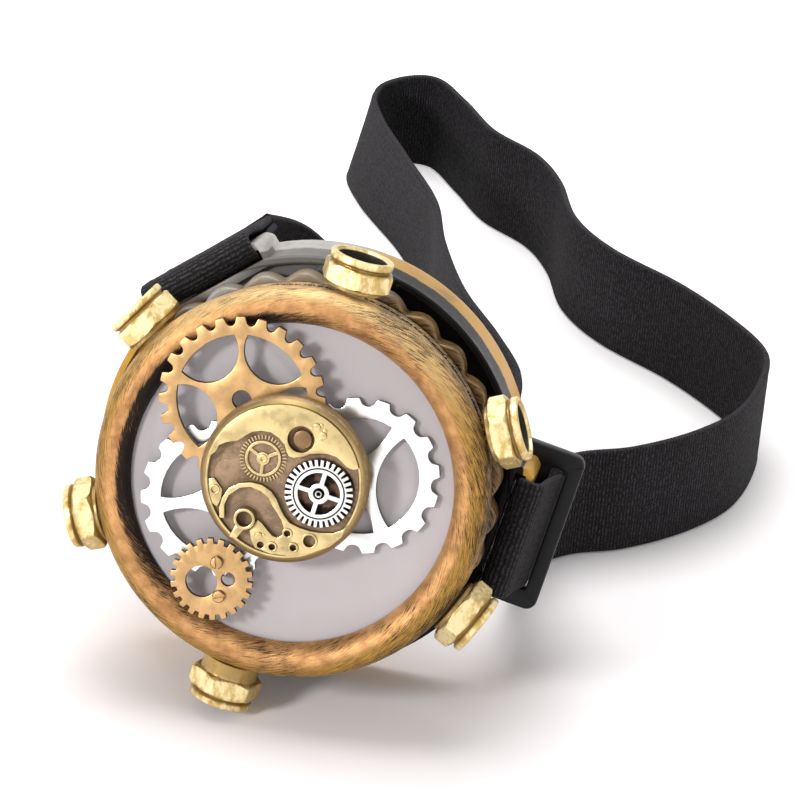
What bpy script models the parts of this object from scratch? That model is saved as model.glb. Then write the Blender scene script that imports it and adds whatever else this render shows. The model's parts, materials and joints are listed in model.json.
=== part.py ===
"""Costume monocle: a goggle eyecup with a screw-on bezel, clockwork on its lens and an elastic head strap.

The monocle stands as it is laid on a table: the rim of its face side and its lowest nut touch the table,
and the head strap stands on its edge behind it. Sizes are in metres and +Z is up. The pieces of the eyecup
are modelled in a face frame: X to the right, Y up along the face and Z out of the lens towards the viewer,
with its origin at the middle of the bezel's rounded ring.
"""
import math

import bmesh
import bpy
from mathutils import Matrix, Vector

# Fits
CLEARANCE = 0.0003
OVERRUN = 0.0020
SEGMENTS = 60
FINE_STEPS = 12

# Lens and its gasket
LENS_RADIUS = 0.0266
LENS_THICKNESS = 0.0020
LENS_FRONT = 0.0003
GASKET_WIDTH = 0.0014
GASKET_THICKNESS = 0.0015

# Bezel, the rounded ring round the lens
BEZEL_WIDTH = 0.0041
BEZEL_TUBE_RADIUS = 0.0029
BEZEL_SKIRT_STEP = 0.0008
BEZEL_SKIRT_DEPTH = 0.0076
BEZEL_GROOVE = 0.0005
BEZEL_NECK_STEP = 0.0021
BEZEL_NECK_LENGTH = 0.0009

# Scalloped grip ring that screws on the eyecup
GRIP_WIDTH = 0.0034
GRIP_SCALLOP_DEPTH = 0.0015
GRIP_LENGTH = 0.0042
GRIP_CHAMFER = 0.0005
GRIP_SCALLOPS = 28

# Eyecup
THREAD_STEP = 0.0010
SPIGOT_WALL = 0.0016
WEB_THICKNESS = 0.0018
WEB_RECESS = 0.0017
RIM_STEP = 0.0056
RIM_FLARE = 0.0007
RIM_WALL = 0.0013
RIM_LENGTH = 0.0107
FACE_EDGE = 0.0003

# Strap ears on the eyecup, one towards eleven o'clock and one below three o'clock
LEFT_EAR_ANGLE = -37.0
RIGHT_EAR_ANGLE = 101.5
EAR_BAR_THICKNESS = 0.0012
EAR_SLOT_WIDTH = 0.0018
EAR_INNER_WALL = 0.0014
EAR_POST = 0.0012
EAR_CORNER = 0.0010
EAR_SETBACK = 0.0003

# Elastic head strap
STRAP_WIDTH = 0.0196
STRAP_THICKNESS = 0.0012
STRAP_SIDE_ROOM = 0.0004
LOOP_DEPTH = 0.2030
LAP_LENGTH = 0.0100
TAIL_LENGTH = 0.0115

# Sliding buckle
BUCKLE_LENGTH = 0.0266
BUCKLE_WIDTH = 0.0124
BUCKLE_THICKNESS = 0.0022
BUCKLE_BAR_WIDTH = 0.0024
BUCKLE_SLOT_WIDTH = 0.0026
BUCKLE_CORNER = 0.0018
BUCKLE_EDGE = 0.0004
BUCKLE_STANDOFF = 0.0004
BUCKLE_SLIDE = 0.0080

# Hexagon nuts round the bezel
NUT_ANGLES = (9.5, 68.7, 121.5, 191.9, 250.7, 308.8)
NUT_TURNS = (-16.0, 0.0, -12.0, -18.0, 4.0, -10.0)
NUT_FLATS = 0.0102
NUT_HEX_HEIGHT = 0.0032
NUT_CHAMFER = 0.0007
NUT_GROOVE_RADIUS = 0.0045
NUT_GROOVE_WIDTH = 0.0004
NUT_COLLAR_RADIUS = 0.0050
NUT_COLLAR_HEIGHT = 0.0012
NUT_COLLAR_EDGE = 0.0002
NUT_FOOT_RADIUS = 0.0045
NUT_FOOT_HEIGHTS = (0.0006, 0.0006, 0.0006, 0.00235, 0.0006, 0.0006)
NUT_BORE_RADIUS = 0.0039
NUT_DEPTH = 0.0042

# Large brass gear
BRASS_GEAR_CENTRE = (-0.0087, 0.0127)
BRASS_GEAR_RADIUS = 0.0130
BRASS_GEAR_TOOTH = 0.0014
BRASS_GEAR_TEETH = 24
BRASS_GEAR_HOLE_RADIUS = 0.0015
BRASS_GEAR_THICKNESS = 0.0010
BRASS_GEAR_SPOKE_ANGLE = 97.5
BRASS_WINDOWS = 5

# Large silver gears
SILVER_GEAR_RADIUS = 0.0123
SILVER_GEAR_TOOTH = 0.0013
SILVER_GEAR_TEETH = 16
SILVER_GEAR_HOLE_RADIUS = 0.0012
SILVER_GEAR_THICKNESS = 0.0008
SILVER_WINDOWS = 3
RIGHT_GEAR_CENTRE = (0.0106, 0.0031)
LEFT_GEAR_CENTRE = (-0.0107, -0.0038)
RIGHT_GEAR_SPOKE_ANGLE = 57.5
LEFT_GEAR_SPOKE_ANGLE = 75.0

# Small brass gear with its two screws
SMALL_GEAR_CENTRE = (-0.0101, -0.0162)
SMALL_GEAR_RADIUS = 0.0065
SMALL_GEAR_TOOTH = 0.0008
SMALL_GEAR_TEETH = 22
SMALL_GEAR_HOLE_OFFSET = (-0.0015, -0.0006)
SMALL_GEAR_HOLE_RADIUS = 0.0025
SMALL_GEAR_PIN_OFFSET = (0.0026, 0.0004)
SMALL_GEAR_PIN_RADIUS = 0.0011
SCREW_OFFSETS = ((0.0006, 0.0029), (0.0015, -0.0024))
SCREW_RADIUS = 0.0010
SCREW_HEIGHT = 0.0005
SCREW_SLOT_WIDTH = 0.0004
SCREW_SLOT_DEPTH = 0.00025

# Cast watch movement in the middle of the lens
MOVEMENT_CENTRE = (-0.0004, 0.0019)
MOVEMENT_RADIUS = 0.0131
MOVEMENT_SIDE_HEIGHT = 0.0018
MOVEMENT_BEVEL = 0.0009
MOVEMENT_LIP_WIDTH = 0.0005
MOVEMENT_FLOOR_DROP = 0.0007
BRIDGE_HEIGHT = 0.0016
BRIDGE_EDGE = 0.0010
COCK_HEIGHT = 0.0014
LOWER_BRIDGE_HEIGHT = 0.0011
BOSS_RADIUS = 0.0017
BOSS_HEIGHT = 0.0018
BOSS_BORE_RADIUS = 0.0012
COCK_OUTER_RADIUS = 0.0046
COCK_INNER_RADIUS = 0.0038
BRIDGE_HOLE_RADIUS = 0.0021
RATCHET_RADIUS = 0.0028
RATCHET_RIM = 0.0004
RATCHET_HUB_RADIUS = 0.0010
RATCHET_SPOKE_WIDTH = 0.0005
RATCHET_HEIGHT = 0.0004
JEWEL_RADIUS = 0.0005
BANKING_JEWEL_RADIUS = 0.0009

# Small silver wheel on the movement, with its hub pin
WHEEL_RADIUS = 0.0053
WHEEL_TOOTH = 0.0010
WHEEL_TEETH = 34
WHEEL_THICKNESS = 0.0008
WHEEL_RIM = 0.0007
WHEEL_WINDOWS = 4
WHEEL_SPOKE_WIDTH = 0.0007
WHEEL_HUB_RADIUS = 0.0016
WHEEL_BORE_RADIUS = 0.0009
PIN_LENGTH = 0.0012
PIN_HOLE_RADIUS = 0.0003

# Places on the movement as shares of its radius, from its middle
UPPER_BRIDGE_EDGE_SHARES = ((-0.87, 0.14), (-0.79, 0.25), (-0.70, 0.38), (-0.59, 0.42), (-0.50, 0.49),
                            (-0.42, 0.56), (-0.31, 0.59), (-0.19, 0.57), (-0.09, 0.50), (-0.02, 0.39),
                            (0.03, 0.30), (0.11, 0.28), (0.21, 0.32), (0.32, 0.39), (0.44, 0.43),
                            (0.55, 0.41), (0.65, 0.34), (0.76, 0.27))
BRIDGE_HOLE_SHARES = (0.16, 0.54)
RATCHET_SHARES = (-0.27, 0.22)
WHEEL_SHARES = (0.44, -0.08)
COCK_SHARES = (-0.38, -0.39)
BOSS_SHARES = (-0.39, -0.51)
COCK_STEM_SHARES = ((-0.49, -0.60), (-0.55, -0.76), (-0.46, -0.77), (-0.37, -0.62))
LOWER_BRIDGE_SHARES = ((-0.36, -0.60), (-0.29, -0.76), (-0.20, -0.86), (-0.04, -0.88), (0.14, -0.87),
                       (0.31, -0.82), (0.50, -0.71), (0.62, -0.62), (0.50, -0.57), (0.33, -0.56),
                       (0.17, -0.53), (0.04, -0.44), (0.00, -0.38), (-0.06, -0.42), (0.02, -0.52),
                       (0.05, -0.60), (0.01, -0.69), (-0.07, -0.67), (-0.16, -0.58), (-0.25, -0.55))
JEWEL_SHARES = ((0.13, -0.61), (-0.03, -0.80), (-0.17, -0.80), (0.22, -0.77))
BANKING_JEWEL_SHARES = (0.40, -0.66)

# Shape shares
TOOTH_GAP_SHARE = 0.60
SQUARE_GAP_SHARE = 0.50
WINDOW_OUTER_SHARE = 0.785
WINDOW_INNER_SHARE = 0.335
WINDOW_HALF_ANGLE = 30.0
SILVER_WINDOW_OUTER_SHARE = 0.74
SILVER_WINDOW_INNER_SHARE = 0.21
SILVER_WINDOW_HALF_ANGLE = 52.0
LAP_SPREAD_SHARE = 0.45

# Route of the strap on the table as shares of the loop's depth: x, y, climb to the ear, and lean of the
# strap's upper edge in x and y as shares of its width
STRAP_ROUTE_SHARES = (
    (-0.074, 0.250, 0.84, 0.00, 0.00), (-0.025, 0.279, 0.56, 0.00, 0.00), (0.034, 0.299, 0.27, 0.00, 0.00),
    (0.089, 0.322, 0.07, 0.00, 0.00), (0.121, 0.365, 0.00, 0.00, 0.00), (0.118, 0.419, 0.00, 0.00, 0.00),
    (0.089, 0.483, 0.00, 0.00, 0.00), (0.047, 0.559, 0.00, 0.00, 0.00), (0.015, 0.645, 0.00, 0.00, 0.00),
    (-0.007, 0.727, 0.00, 0.00, 0.00), (-0.047, 0.808, 0.00, 0.00, 0.00), (-0.091, 0.887, 0.00, 0.12, 0.00),
    (-0.111, 0.948, 0.00, 0.22, -0.03), (-0.091, 0.986, 0.00, 0.12, -0.06), (-0.052, 0.998, 0.00, 0.00, -0.05),
    (-0.015, 0.951, 0.00, 0.00, 0.00), (0.020, 0.897, 0.00, 0.00, 0.00), (0.067, 0.857, 0.00, 0.00, 0.00),
    (0.096, 0.808, 0.00, 0.00, 0.00), (0.121, 0.736, 0.00, 0.00, 0.00), (0.163, 0.682, 0.00, 0.00, 0.00),
    (0.232, 0.631, 0.00, 0.00, 0.00), (0.286, 0.576, 0.00, 0.00, 0.00), (0.318, 0.527, 0.00, 0.00, 0.00),
    (0.321, 0.473, 0.00, 0.00, 0.00), (0.308, 0.411, 0.00, 0.00, 0.00), (0.276, 0.360, 0.00, 0.00, 0.00),
    (0.232, 0.318, 0.00, 0.00, 0.00), (0.190, 0.294, 0.00, 0.00, 0.00), (0.164, 0.262, 0.02, 0.00, 0.00),
    (0.155, 0.215, 0.27, 0.00, 0.00))
ROUTE_STEPS = 3

# Levels and radii worked out from the sizes above
LENS_BACK = LENS_FRONT - LENS_THICKNESS
GASKET_FRONT = LENS_BACK - CLEARANCE
GASKET_BACK = GASKET_FRONT - GASKET_THICKNESS
SPIGOT_FRONT = GASKET_BACK - CLEARANCE
NECK_BACK = -BEZEL_SKIRT_DEPTH - BEZEL_NECK_LENGTH
GRIP_FRONT = NECK_BACK - CLEARANCE
GRIP_BACK = GRIP_FRONT - GRIP_LENGTH
RIM_FRONT = GRIP_BACK - CLEARANCE
WEB_FRONT = RIM_FRONT - WEB_RECESS
WEB_BACK = WEB_FRONT - WEB_THICKNESS
FACE_BACK = RIM_FRONT - RIM_LENGTH
EAR_FRONT = RIM_FRONT - EAR_SETBACK
EAR_BACK = FACE_BACK + EAR_SETBACK
LOWER_GEAR_LEVEL = LENS_FRONT + CLEARANCE
UPPER_GEAR_LEVEL = LOWER_GEAR_LEVEL + SILVER_GEAR_THICKNESS + CLEARANCE
BEZEL_BORE_RADIUS = LENS_RADIUS + CLEARANCE
BEZEL_RADIUS = BEZEL_BORE_RADIUS + BEZEL_WIDTH
BEZEL_SKIRT_RADIUS = BEZEL_RADIUS - BEZEL_SKIRT_STEP
BEZEL_NECK_RADIUS = BEZEL_RADIUS - BEZEL_NECK_STEP
SPIGOT_RADIUS = BEZEL_BORE_RADIUS - CLEARANCE
EYECUP_BORE_RADIUS = SPIGOT_RADIUS - SPIGOT_WALL
THREAD_RADIUS = LENS_RADIUS + THREAD_STEP
GRIP_RADIUS = THREAD_RADIUS + CLEARANCE + GRIP_WIDTH
RIM_FRONT_RADIUS = THREAD_RADIUS + RIM_STEP
RIM_RADIUS = RIM_FRONT_RADIUS + RIM_FLARE
EAR_BAR_DISTANCE = RIM_FRONT_RADIUS
BRASS_GEAR_LEVEL = BEZEL_TUBE_RADIUS + CLEARANCE
MOVEMENT_BACK = BRASS_GEAR_LEVEL + BRASS_GEAR_THICKNESS + CLEARANCE
MOVEMENT_LIP = MOVEMENT_BACK + MOVEMENT_SIDE_HEIGHT + MOVEMENT_BEVEL
MOVEMENT_FLOOR = MOVEMENT_LIP - MOVEMENT_FLOOR_DROP
NUT_SEAT_RADIUS = BEZEL_RADIUS + CLEARANCE
NUT_REACH = NUT_SEAT_RADIUS + NUT_HEX_HEIGHT + NUT_GROOVE_WIDTH + NUT_COLLAR_HEIGHT
EAR_SLOT_DISTANCE = EAR_BAR_DISTANCE - EAR_SLOT_WIDTH
EAR_SLOT_LENGTH = STRAP_WIDTH + 2 * STRAP_SIDE_ROOM
BUCKLE_FRONT = FACE_BACK - BUCKLE_STANDOFF
BUCKLE_BACK = BUCKLE_FRONT - BUCKLE_THICKNESS


def clear_scene():
    """Remove every object, mesh and material of the open scene."""
    for obj in list(bpy.data.objects):
        bpy.data.objects.remove(obj, do_unlink=True)
    for store in (bpy.data.meshes, bpy.data.materials):
        for block in list(store):
            store.remove(block)


def make_material(name, colour, roughness, metallic, alpha=1.0):
    """A plain Principled finish."""
    finish = bpy.data.materials.new(name)
    finish.use_nodes = True
    shader = finish.node_tree.nodes["Principled BSDF"]
    shader.inputs["Base Color"].default_value = (*colour, 1.0)
    shader.inputs["Roughness"].default_value = roughness
    shader.inputs["Metallic"].default_value = metallic
    shader.inputs["Alpha"].default_value = alpha
    finish.diffuse_color = (*colour, alpha)
    return finish


def make_frame(name, parent=None, matrix=None):
    """An empty that carries a group of pieces."""
    frame = bpy.data.objects.new(name, None)
    bpy.context.collection.objects.link(frame)
    frame.parent = parent
    if matrix is not None:
        frame.matrix_basis = matrix
    return frame


def make_object(name, shape, finish, parent, sharp_angle=35.0):
    """Turn a bmesh into a named, parented object with smooth round faces and sharp edges."""
    bmesh.ops.recalc_face_normals(shape, faces=shape.faces)
    mesh = bpy.data.meshes.new(name)
    shape.to_mesh(mesh)
    shape.free()
    mesh.shade_smooth()
    mesh.set_sharp_from_angle(angle=math.radians(sharp_angle))
    if finish is not None:
        mesh.materials.append(finish)
    obj = bpy.data.objects.new(name, mesh)
    bpy.context.collection.objects.link(obj)
    obj.parent = parent
    return obj


def boolean(obj, tool, operation):
    """Join or cut with a hidden tool body."""
    tool.hide_render = True
    tool.display_type = "WIRE"
    step = obj.modifiers.new(f"{operation.lower()} {tool.name}", "BOOLEAN")
    step.operation = operation
    step.solver = "EXACT"
    step.object = tool


def polar(radius, degrees, centre=(0.0, 0.0)):
    """A point at a mathematical angle round a centre."""
    angle = math.radians(degrees)
    return (centre[0] + radius * math.cos(angle), centre[1] + radius * math.sin(angle))


def circle(radius, count, centre=(0.0, 0.0)):
    """Points round a circle."""
    return [polar(radius, 360.0 * step / count, centre) for step in range(count)]


def arc(radius, start, end, steps, centre=(0.0, 0.0)):
    """Points along an arc, both ends included."""
    return [polar(radius, start + (end - start) * step / steps, centre) for step in range(steps + 1)]


def moved(points, centre):
    """Points carried to a new centre."""
    return [(x + centre[0], y + centre[1]) for x, y in points]


def share_point(share, centre=MOVEMENT_CENTRE, radius=MOVEMENT_RADIUS):
    """A place on the movement given as shares of its radius."""
    return (centre[0] + share[0] * radius, centre[1] + share[1] * radius)


def revolve(profile, segments=SEGMENTS):
    """Spin a closed profile of (radius, level) points round the face axis."""
    shape = bmesh.new()
    verts = [shape.verts.new((radius, 0.0, level)) for radius, level in profile]
    edges = [shape.edges.new((verts[i], verts[(i + 1) % len(verts)])) for i in range(len(verts))]
    bmesh.ops.spin(shape, geom=verts + edges, cent=(0, 0, 0), axis=(0, 0, 1), angle=math.tau,
                   steps=segments, use_merge=True)
    bmesh.ops.remove_doubles(shape, verts=shape.verts, dist=CLEARANCE / 100)
    return shape


def turned_disc(profile, segments=SEGMENTS):
    """Spin an open profile whose two ends lie on the face axis."""
    shape = bmesh.new()
    verts = [shape.verts.new((radius, 0.0, level)) for radius, level in profile]
    edges = [shape.edges.new((verts[i], verts[i + 1])) for i in range(len(verts) - 1)]
    bmesh.ops.spin(shape, geom=verts + edges, cent=(0, 0, 0), axis=(0, 0, 1), angle=math.tau,
                   steps=segments, use_merge=True)
    bmesh.ops.remove_doubles(shape, verts=shape.verts, dist=CLEARANCE / 100)
    return shape


def plate(outline, holes, low, high, shape=None):
    """Extrude a flat outline with holes between two levels."""
    shape = shape or bmesh.new()
    edges = []
    for loop in [outline, *holes]:
        verts = [shape.verts.new((x, y, low)) for x, y in loop]
        edges += [shape.edges.new((verts[i], verts[(i + 1) % len(verts)])) for i in range(len(verts))]
    filled = bmesh.ops.triangle_fill(shape, edges=edges, use_beauty=True, use_dissolve=False)
    faces = [item for item in filled["geom"] if isinstance(item, bmesh.types.BMFace)]
    risen = bmesh.ops.extrude_face_region(shape, geom=faces)
    verts = [item for item in risen["geom"] if isinstance(item, bmesh.types.BMVert)]
    bmesh.ops.translate(shape, verts=verts, vec=(0.0, 0.0, high - low))
    return shape


def loft(rings, closed=False):
    """Skin rings of equal count, capped at both ends, or joined end to start when closed."""
    shape = bmesh.new()
    loops = [[shape.verts.new(point) for point in ring] for ring in rings]
    count = len(loops[0])
    pairs = list(zip(loops, loops[1:]))
    if closed:
        pairs.append((loops[-1], loops[0]))
    for first, second in pairs:
        for i in range(count):
            j = (i + 1) % count
            shape.faces.new((first[i], first[j], second[j], second[i]))
    if not closed:
        shape.faces.new(loops[0])
        shape.faces.new(loops[-1])
    return shape


def rounded_gap_outline(teeth, radius, depth, gap_share, start=0.0):
    """Gear outline whose gaps are half ellipses between flat-topped teeth."""
    pitch = 360.0 / teeth
    points = []
    for tooth in range(teeth):
        middle = start + pitch * (tooth + 0.5)
        for step in range(7):
            turn = math.pi * step / 6
            angle = middle - math.cos(turn) * pitch * gap_share / 2
            points.append(polar(radius - depth * math.sin(turn), angle))
    return points


def square_tooth_outline(teeth, radius, depth, gap_share, start=0.0):
    """Gear outline with straight-sided teeth."""
    pitch = 360.0 / teeth
    points = []
    for tooth in range(teeth):
        middle = start + pitch * (tooth + 0.5)
        half_gap = pitch * gap_share / 2
        points.append(polar(radius, middle - half_gap))
        points.append(polar(radius - depth, middle - half_gap * SQUARE_GAP_SHARE * 1.5))
        points.append(polar(radius - depth, middle + half_gap * SQUARE_GAP_SHARE * 1.5))
        points.append(polar(radius, middle + half_gap))
    return points


def almond_window(middle, outer, inner, half_angle):
    """Window between two spokes: the rim's arc outside and a round belly towards the hub."""
    corner_x = outer * math.cos(math.radians(half_angle))
    corner_y = outer * math.sin(math.radians(half_angle))
    sagitta = corner_x - inner
    belly = (corner_y ** 2 + sagitta ** 2) / (2 * sagitta)
    belly_centre = inner + belly
    spread = math.degrees(math.atan2(corner_y, belly_centre - corner_x))
    rim = arc(outer, -half_angle, half_angle, 8)
    hub_side = arc(belly, 180.0 - spread, 180.0 + spread, 12, (belly_centre, 0.0))[1:-1]
    turn = math.radians(middle)
    return [(x * math.cos(turn) - y * math.sin(turn), x * math.sin(turn) + y * math.cos(turn))
            for x, y in rim + hub_side]


def sector_window(middle, span, outer, inner, spoke_width):
    """Window between straight spokes of even width."""
    outer_cut = math.degrees(math.asin(spoke_width / (2 * outer)))
    inner_cut = math.degrees(math.asin(spoke_width / (2 * inner)))
    return (arc(outer, middle - span / 2 + outer_cut, middle + span / 2 - outer_cut, 5)
            + arc(inner, middle + span / 2 - inner_cut, middle - span / 2 + inner_cut, 3))


def rim_reach(lean):
    """How far the rim reaches below the lens centre when the face leans back by an angle."""
    side = (RIM_RADIUS, -FACE_BACK - FACE_EDGE)
    back = (RIM_RADIUS - FACE_EDGE, -FACE_BACK)
    return max(radius * math.cos(lean) + depth * math.sin(lean) for radius, depth in (side, back))


def resting_tilt():
    """Angle by which the face leans back when its rim and its lowest nut stand on one level."""
    lean_low, lean_high = 0.0, math.radians(60.0)
    for _ in range(50):
        lean = (lean_low + lean_high) / 2
        down = Vector((0.0, -math.cos(lean), -math.sin(lean)))
        nut_low = 0.0
        for nut_angle, nut_foot in zip(NUT_ANGLES, NUT_FOOT_HEIGHTS):
            axis = Vector((math.sin(math.radians(nut_angle)), math.cos(math.radians(nut_angle)), 0.0))
            top = axis * (NUT_REACH + nut_foot - NUT_COLLAR_EDGE) - Vector((0.0, 0.0, NUT_DEPTH))
            along = axis.dot(down)
            nut_low = max(nut_low, top.dot(down) + NUT_COLLAR_RADIUS * math.sqrt(1.0 - along ** 2))
        if nut_low > rim_reach(lean):
            lean_low = lean
        else:
            lean_high = lean
    return lean_low


TILT = resting_tilt()
LENS_HEIGHT = rim_reach(TILT)
FACE_MATRIX = Matrix.Translation((0.0, 0.0, LENS_HEIGHT)) @ Matrix.Rotation(math.pi / 2 - TILT, 4, "X")


def ear_directions(degrees):
    """Outward and along-the-bar directions of an ear, in the face frame, angle clockwise from the top."""
    angle = math.radians(degrees)
    outward = Vector((math.sin(angle), math.cos(angle), 0.0))
    along = Vector((math.cos(angle), -math.sin(angle), 0.0))
    return outward, along


def ear_block(name, degrees, near, far, half_length, corner_cut, front, back, parent):
    """A block across an ear, between two distances from the face axis, its outer corners cut off."""
    outward, along = ear_directions(degrees)
    rings = []
    for level in (back, front):
        ring = []
        reach = half_length - corner_cut
        shoulder = far - corner_cut
        outline = [(near, -half_length), (shoulder, -half_length), (far, -reach), (far, reach),
                   (shoulder, half_length), (near, half_length)]
        if corner_cut == 0.0:
            outline = [(near, -half_length), (far, -half_length), (far, half_length), (near, half_length)]
        for distance, side in outline:
            corner = outward * distance + along * side
            ring.append((corner.x, corner.y, level))
        rings.append(ring)
    return make_object(name, loft(rings), None, parent)


def make_eyecup(parent, finish):
    """Open cup with a threaded spigot in front, a recessed web, a flared rim and two strap ears."""
    rim_inner = RIM_FRONT_RADIUS - RIM_WALL
    profile = [
        (EYECUP_BORE_RADIUS, SPIGOT_FRONT), (SPIGOT_RADIUS, SPIGOT_FRONT), (SPIGOT_RADIUS, GRIP_FRONT),
        (THREAD_RADIUS, GRIP_FRONT), (THREAD_RADIUS, WEB_FRONT), (rim_inner, WEB_FRONT),
        (rim_inner, RIM_FRONT), (RIM_FRONT_RADIUS, RIM_FRONT), (RIM_RADIUS, FACE_BACK + RIM_WALL),
        (RIM_RADIUS, FACE_BACK + FACE_EDGE), (RIM_RADIUS - FACE_EDGE, FACE_BACK),
        (RIM_RADIUS - RIM_WALL - FACE_EDGE, FACE_BACK), (rim_inner, WEB_BACK),
        (THREAD_RADIUS, WEB_BACK), (EYECUP_BORE_RADIUS, WEB_FRONT)]
    eyecup = make_object("eyecup_shell", revolve(profile), finish, parent)
    for side, degrees in (("left", LEFT_EAR_ANGLE), ("right", RIGHT_EAR_ANGLE)):
        block = ear_block(f"{side}_ear_block", degrees, EAR_SLOT_DISTANCE - EAR_INNER_WALL,
                          EAR_BAR_DISTANCE + EAR_BAR_THICKNESS, EAR_SLOT_LENGTH / 2 + EAR_POST,
                          EAR_CORNER, EAR_FRONT, EAR_BACK, parent)
        boolean(eyecup, block, "UNION")
    for side, degrees in (("left", LEFT_EAR_ANGLE), ("right", RIGHT_EAR_ANGLE)):
        slot = ear_block(f"{side}_ear_slot", degrees, EAR_SLOT_DISTANCE, EAR_BAR_DISTANCE,
                         EAR_SLOT_LENGTH / 2, 0.0, RIM_FRONT + OVERRUN, FACE_BACK - OVERRUN, parent)
        boolean(eyecup, slot, "DIFFERENCE")
    return eyecup


def make_grip_ring(parent, finish):
    """Screw ring with scallops round its edge, chamfered front and back."""
    points = []
    steps = 4
    for step in range(GRIP_SCALLOPS * steps):
        phase = math.pi * (step % steps) / steps
        points.append((360.0 * step / (GRIP_SCALLOPS * steps), math.sin(phase)))
    levels = ((GRIP_FRONT, GRIP_CHAMFER), (GRIP_FRONT - GRIP_CHAMFER, 0.0),
              (GRIP_BACK + GRIP_CHAMFER, 0.0), (GRIP_BACK, GRIP_CHAMFER))
    rings = []
    for level, inset in levels:
        ring = []
        for degrees, rise in points:
            x, y = polar(GRIP_RADIUS - GRIP_SCALLOP_DEPTH * (1.0 - rise) - inset, degrees)
            ring.append((x, y, level))
        rings.append(ring)
    bore = THREAD_RADIUS + CLEARANCE
    for level in (GRIP_BACK, GRIP_FRONT):
        rings.append([(*polar(bore, degrees), level) for degrees, _ in points])
    return make_object("grip_ring", loft(rings, closed=True), finish, parent)


def make_bezel(parent, finish):
    """Rounded front ring with a grooved skirt and a narrower neck behind it."""
    tube_centre = BEZEL_RADIUS - BEZEL_TUBE_RADIUS
    ledge = LENS_FRONT + CLEARANCE
    inner_angle = 180.0 - math.degrees(math.asin(ledge / BEZEL_TUBE_RADIUS))
    front = arc(BEZEL_TUBE_RADIUS, inner_angle, -45.0, 11, (tube_centre, 0.0))
    groove_level = front[-1][1] - BEZEL_GROOVE
    profile = [
        (BEZEL_BORE_RADIUS, NECK_BACK), (BEZEL_BORE_RADIUS, ledge), *front,
        (front[-1][0] - BEZEL_GROOVE, groove_level), (BEZEL_SKIRT_RADIUS, groove_level - BEZEL_GROOVE),
        (BEZEL_SKIRT_RADIUS, -BEZEL_SKIRT_DEPTH), (BEZEL_NECK_RADIUS, -BEZEL_SKIRT_DEPTH),
        (BEZEL_NECK_RADIUS, NECK_BACK)]
    return make_object("bezel_ring", revolve(profile), finish, parent)


def make_lens(parent, finish):
    """Flat clear disc with a small edge bevel."""
    profile = [(0.0, LENS_BACK), (LENS_RADIUS - CLEARANCE, LENS_BACK), (LENS_RADIUS, LENS_BACK + CLEARANCE),
               (LENS_RADIUS, LENS_FRONT - CLEARANCE), (LENS_RADIUS - CLEARANCE, LENS_FRONT), (0.0, LENS_FRONT)]
    return make_object("lens_disc", turned_disc(profile), finish, parent)


def make_gasket(parent, finish):
    """Soft ring between the lens and the eyecup's spigot."""
    inner = LENS_RADIUS - GASKET_WIDTH
    profile = [(inner, GASKET_BACK), (inner, GASKET_FRONT), (LENS_RADIUS, GASKET_FRONT),
               (LENS_RADIUS, GASKET_BACK)]
    return make_object("lens_gasket", revolve(profile, SEGMENTS * 4 // 5), finish, parent)


def place_flat(obj, centre, degrees=0.0, level=0.0):
    """Lay a flat piece on the face at a place and turn."""
    obj.location = (centre[0], centre[1], level)
    obj.rotation_euler = (0.0, 0.0, math.radians(degrees))
    return obj


def make_silver_gear(name, centre, spoke_angle, level, parent, finish):
    """Large silver gear with three almond windows."""
    outline = rounded_gap_outline(SILVER_GEAR_TEETH, SILVER_GEAR_RADIUS, SILVER_GEAR_TOOTH, TOOTH_GAP_SHARE)
    holes = [circle(SILVER_GEAR_HOLE_RADIUS, FINE_STEPS)]
    for window in range(SILVER_WINDOWS):
        middle = 360.0 * (window + 0.5) / SILVER_WINDOWS
        holes.append(almond_window(middle, SILVER_GEAR_RADIUS * SILVER_WINDOW_OUTER_SHARE,
                                   SILVER_GEAR_RADIUS * SILVER_WINDOW_INNER_SHARE, SILVER_WINDOW_HALF_ANGLE))
    gear = make_object(name, plate(outline, holes, 0.0, SILVER_GEAR_THICKNESS), finish, parent)
    return place_flat(gear, centre, spoke_angle, level)


def make_brass_gear(parent, finish):
    """Large brass gear with five almond windows."""
    outline = rounded_gap_outline(BRASS_GEAR_TEETH, BRASS_GEAR_RADIUS, BRASS_GEAR_TOOTH, TOOTH_GAP_SHARE)
    holes = [circle(BRASS_GEAR_HOLE_RADIUS, FINE_STEPS + 4)]
    for window in range(BRASS_WINDOWS):
        middle = 360.0 * (window + 0.5) / BRASS_WINDOWS
        holes.append(almond_window(middle, BRASS_GEAR_RADIUS * WINDOW_OUTER_SHARE,
                                   BRASS_GEAR_RADIUS * WINDOW_INNER_SHARE, WINDOW_HALF_ANGLE))
    gear = make_object("brass_gear_large", plate(outline, holes, 0.0, BRASS_GEAR_THICKNESS), finish, parent)
    return place_flat(gear, BRASS_GEAR_CENTRE, BRASS_GEAR_SPOKE_ANGLE, BRASS_GEAR_LEVEL)


def make_small_gear(parent, finish):
    """Small brass gear with square teeth and two holes off its centre."""
    outline = square_tooth_outline(SMALL_GEAR_TEETH, SMALL_GEAR_RADIUS, SMALL_GEAR_TOOTH, SQUARE_GAP_SHARE)
    holes = [circle(SMALL_GEAR_HOLE_RADIUS, FINE_STEPS + 8, SMALL_GEAR_HOLE_OFFSET),
             circle(SMALL_GEAR_PIN_RADIUS, FINE_STEPS, SMALL_GEAR_PIN_OFFSET)]
    gear = make_object("brass_gear_small", plate(outline, holes, 0.0, BRASS_GEAR_THICKNESS), finish, parent)
    return place_flat(gear, SMALL_GEAR_CENTRE, 0.0, BRASS_GEAR_LEVEL)


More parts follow.
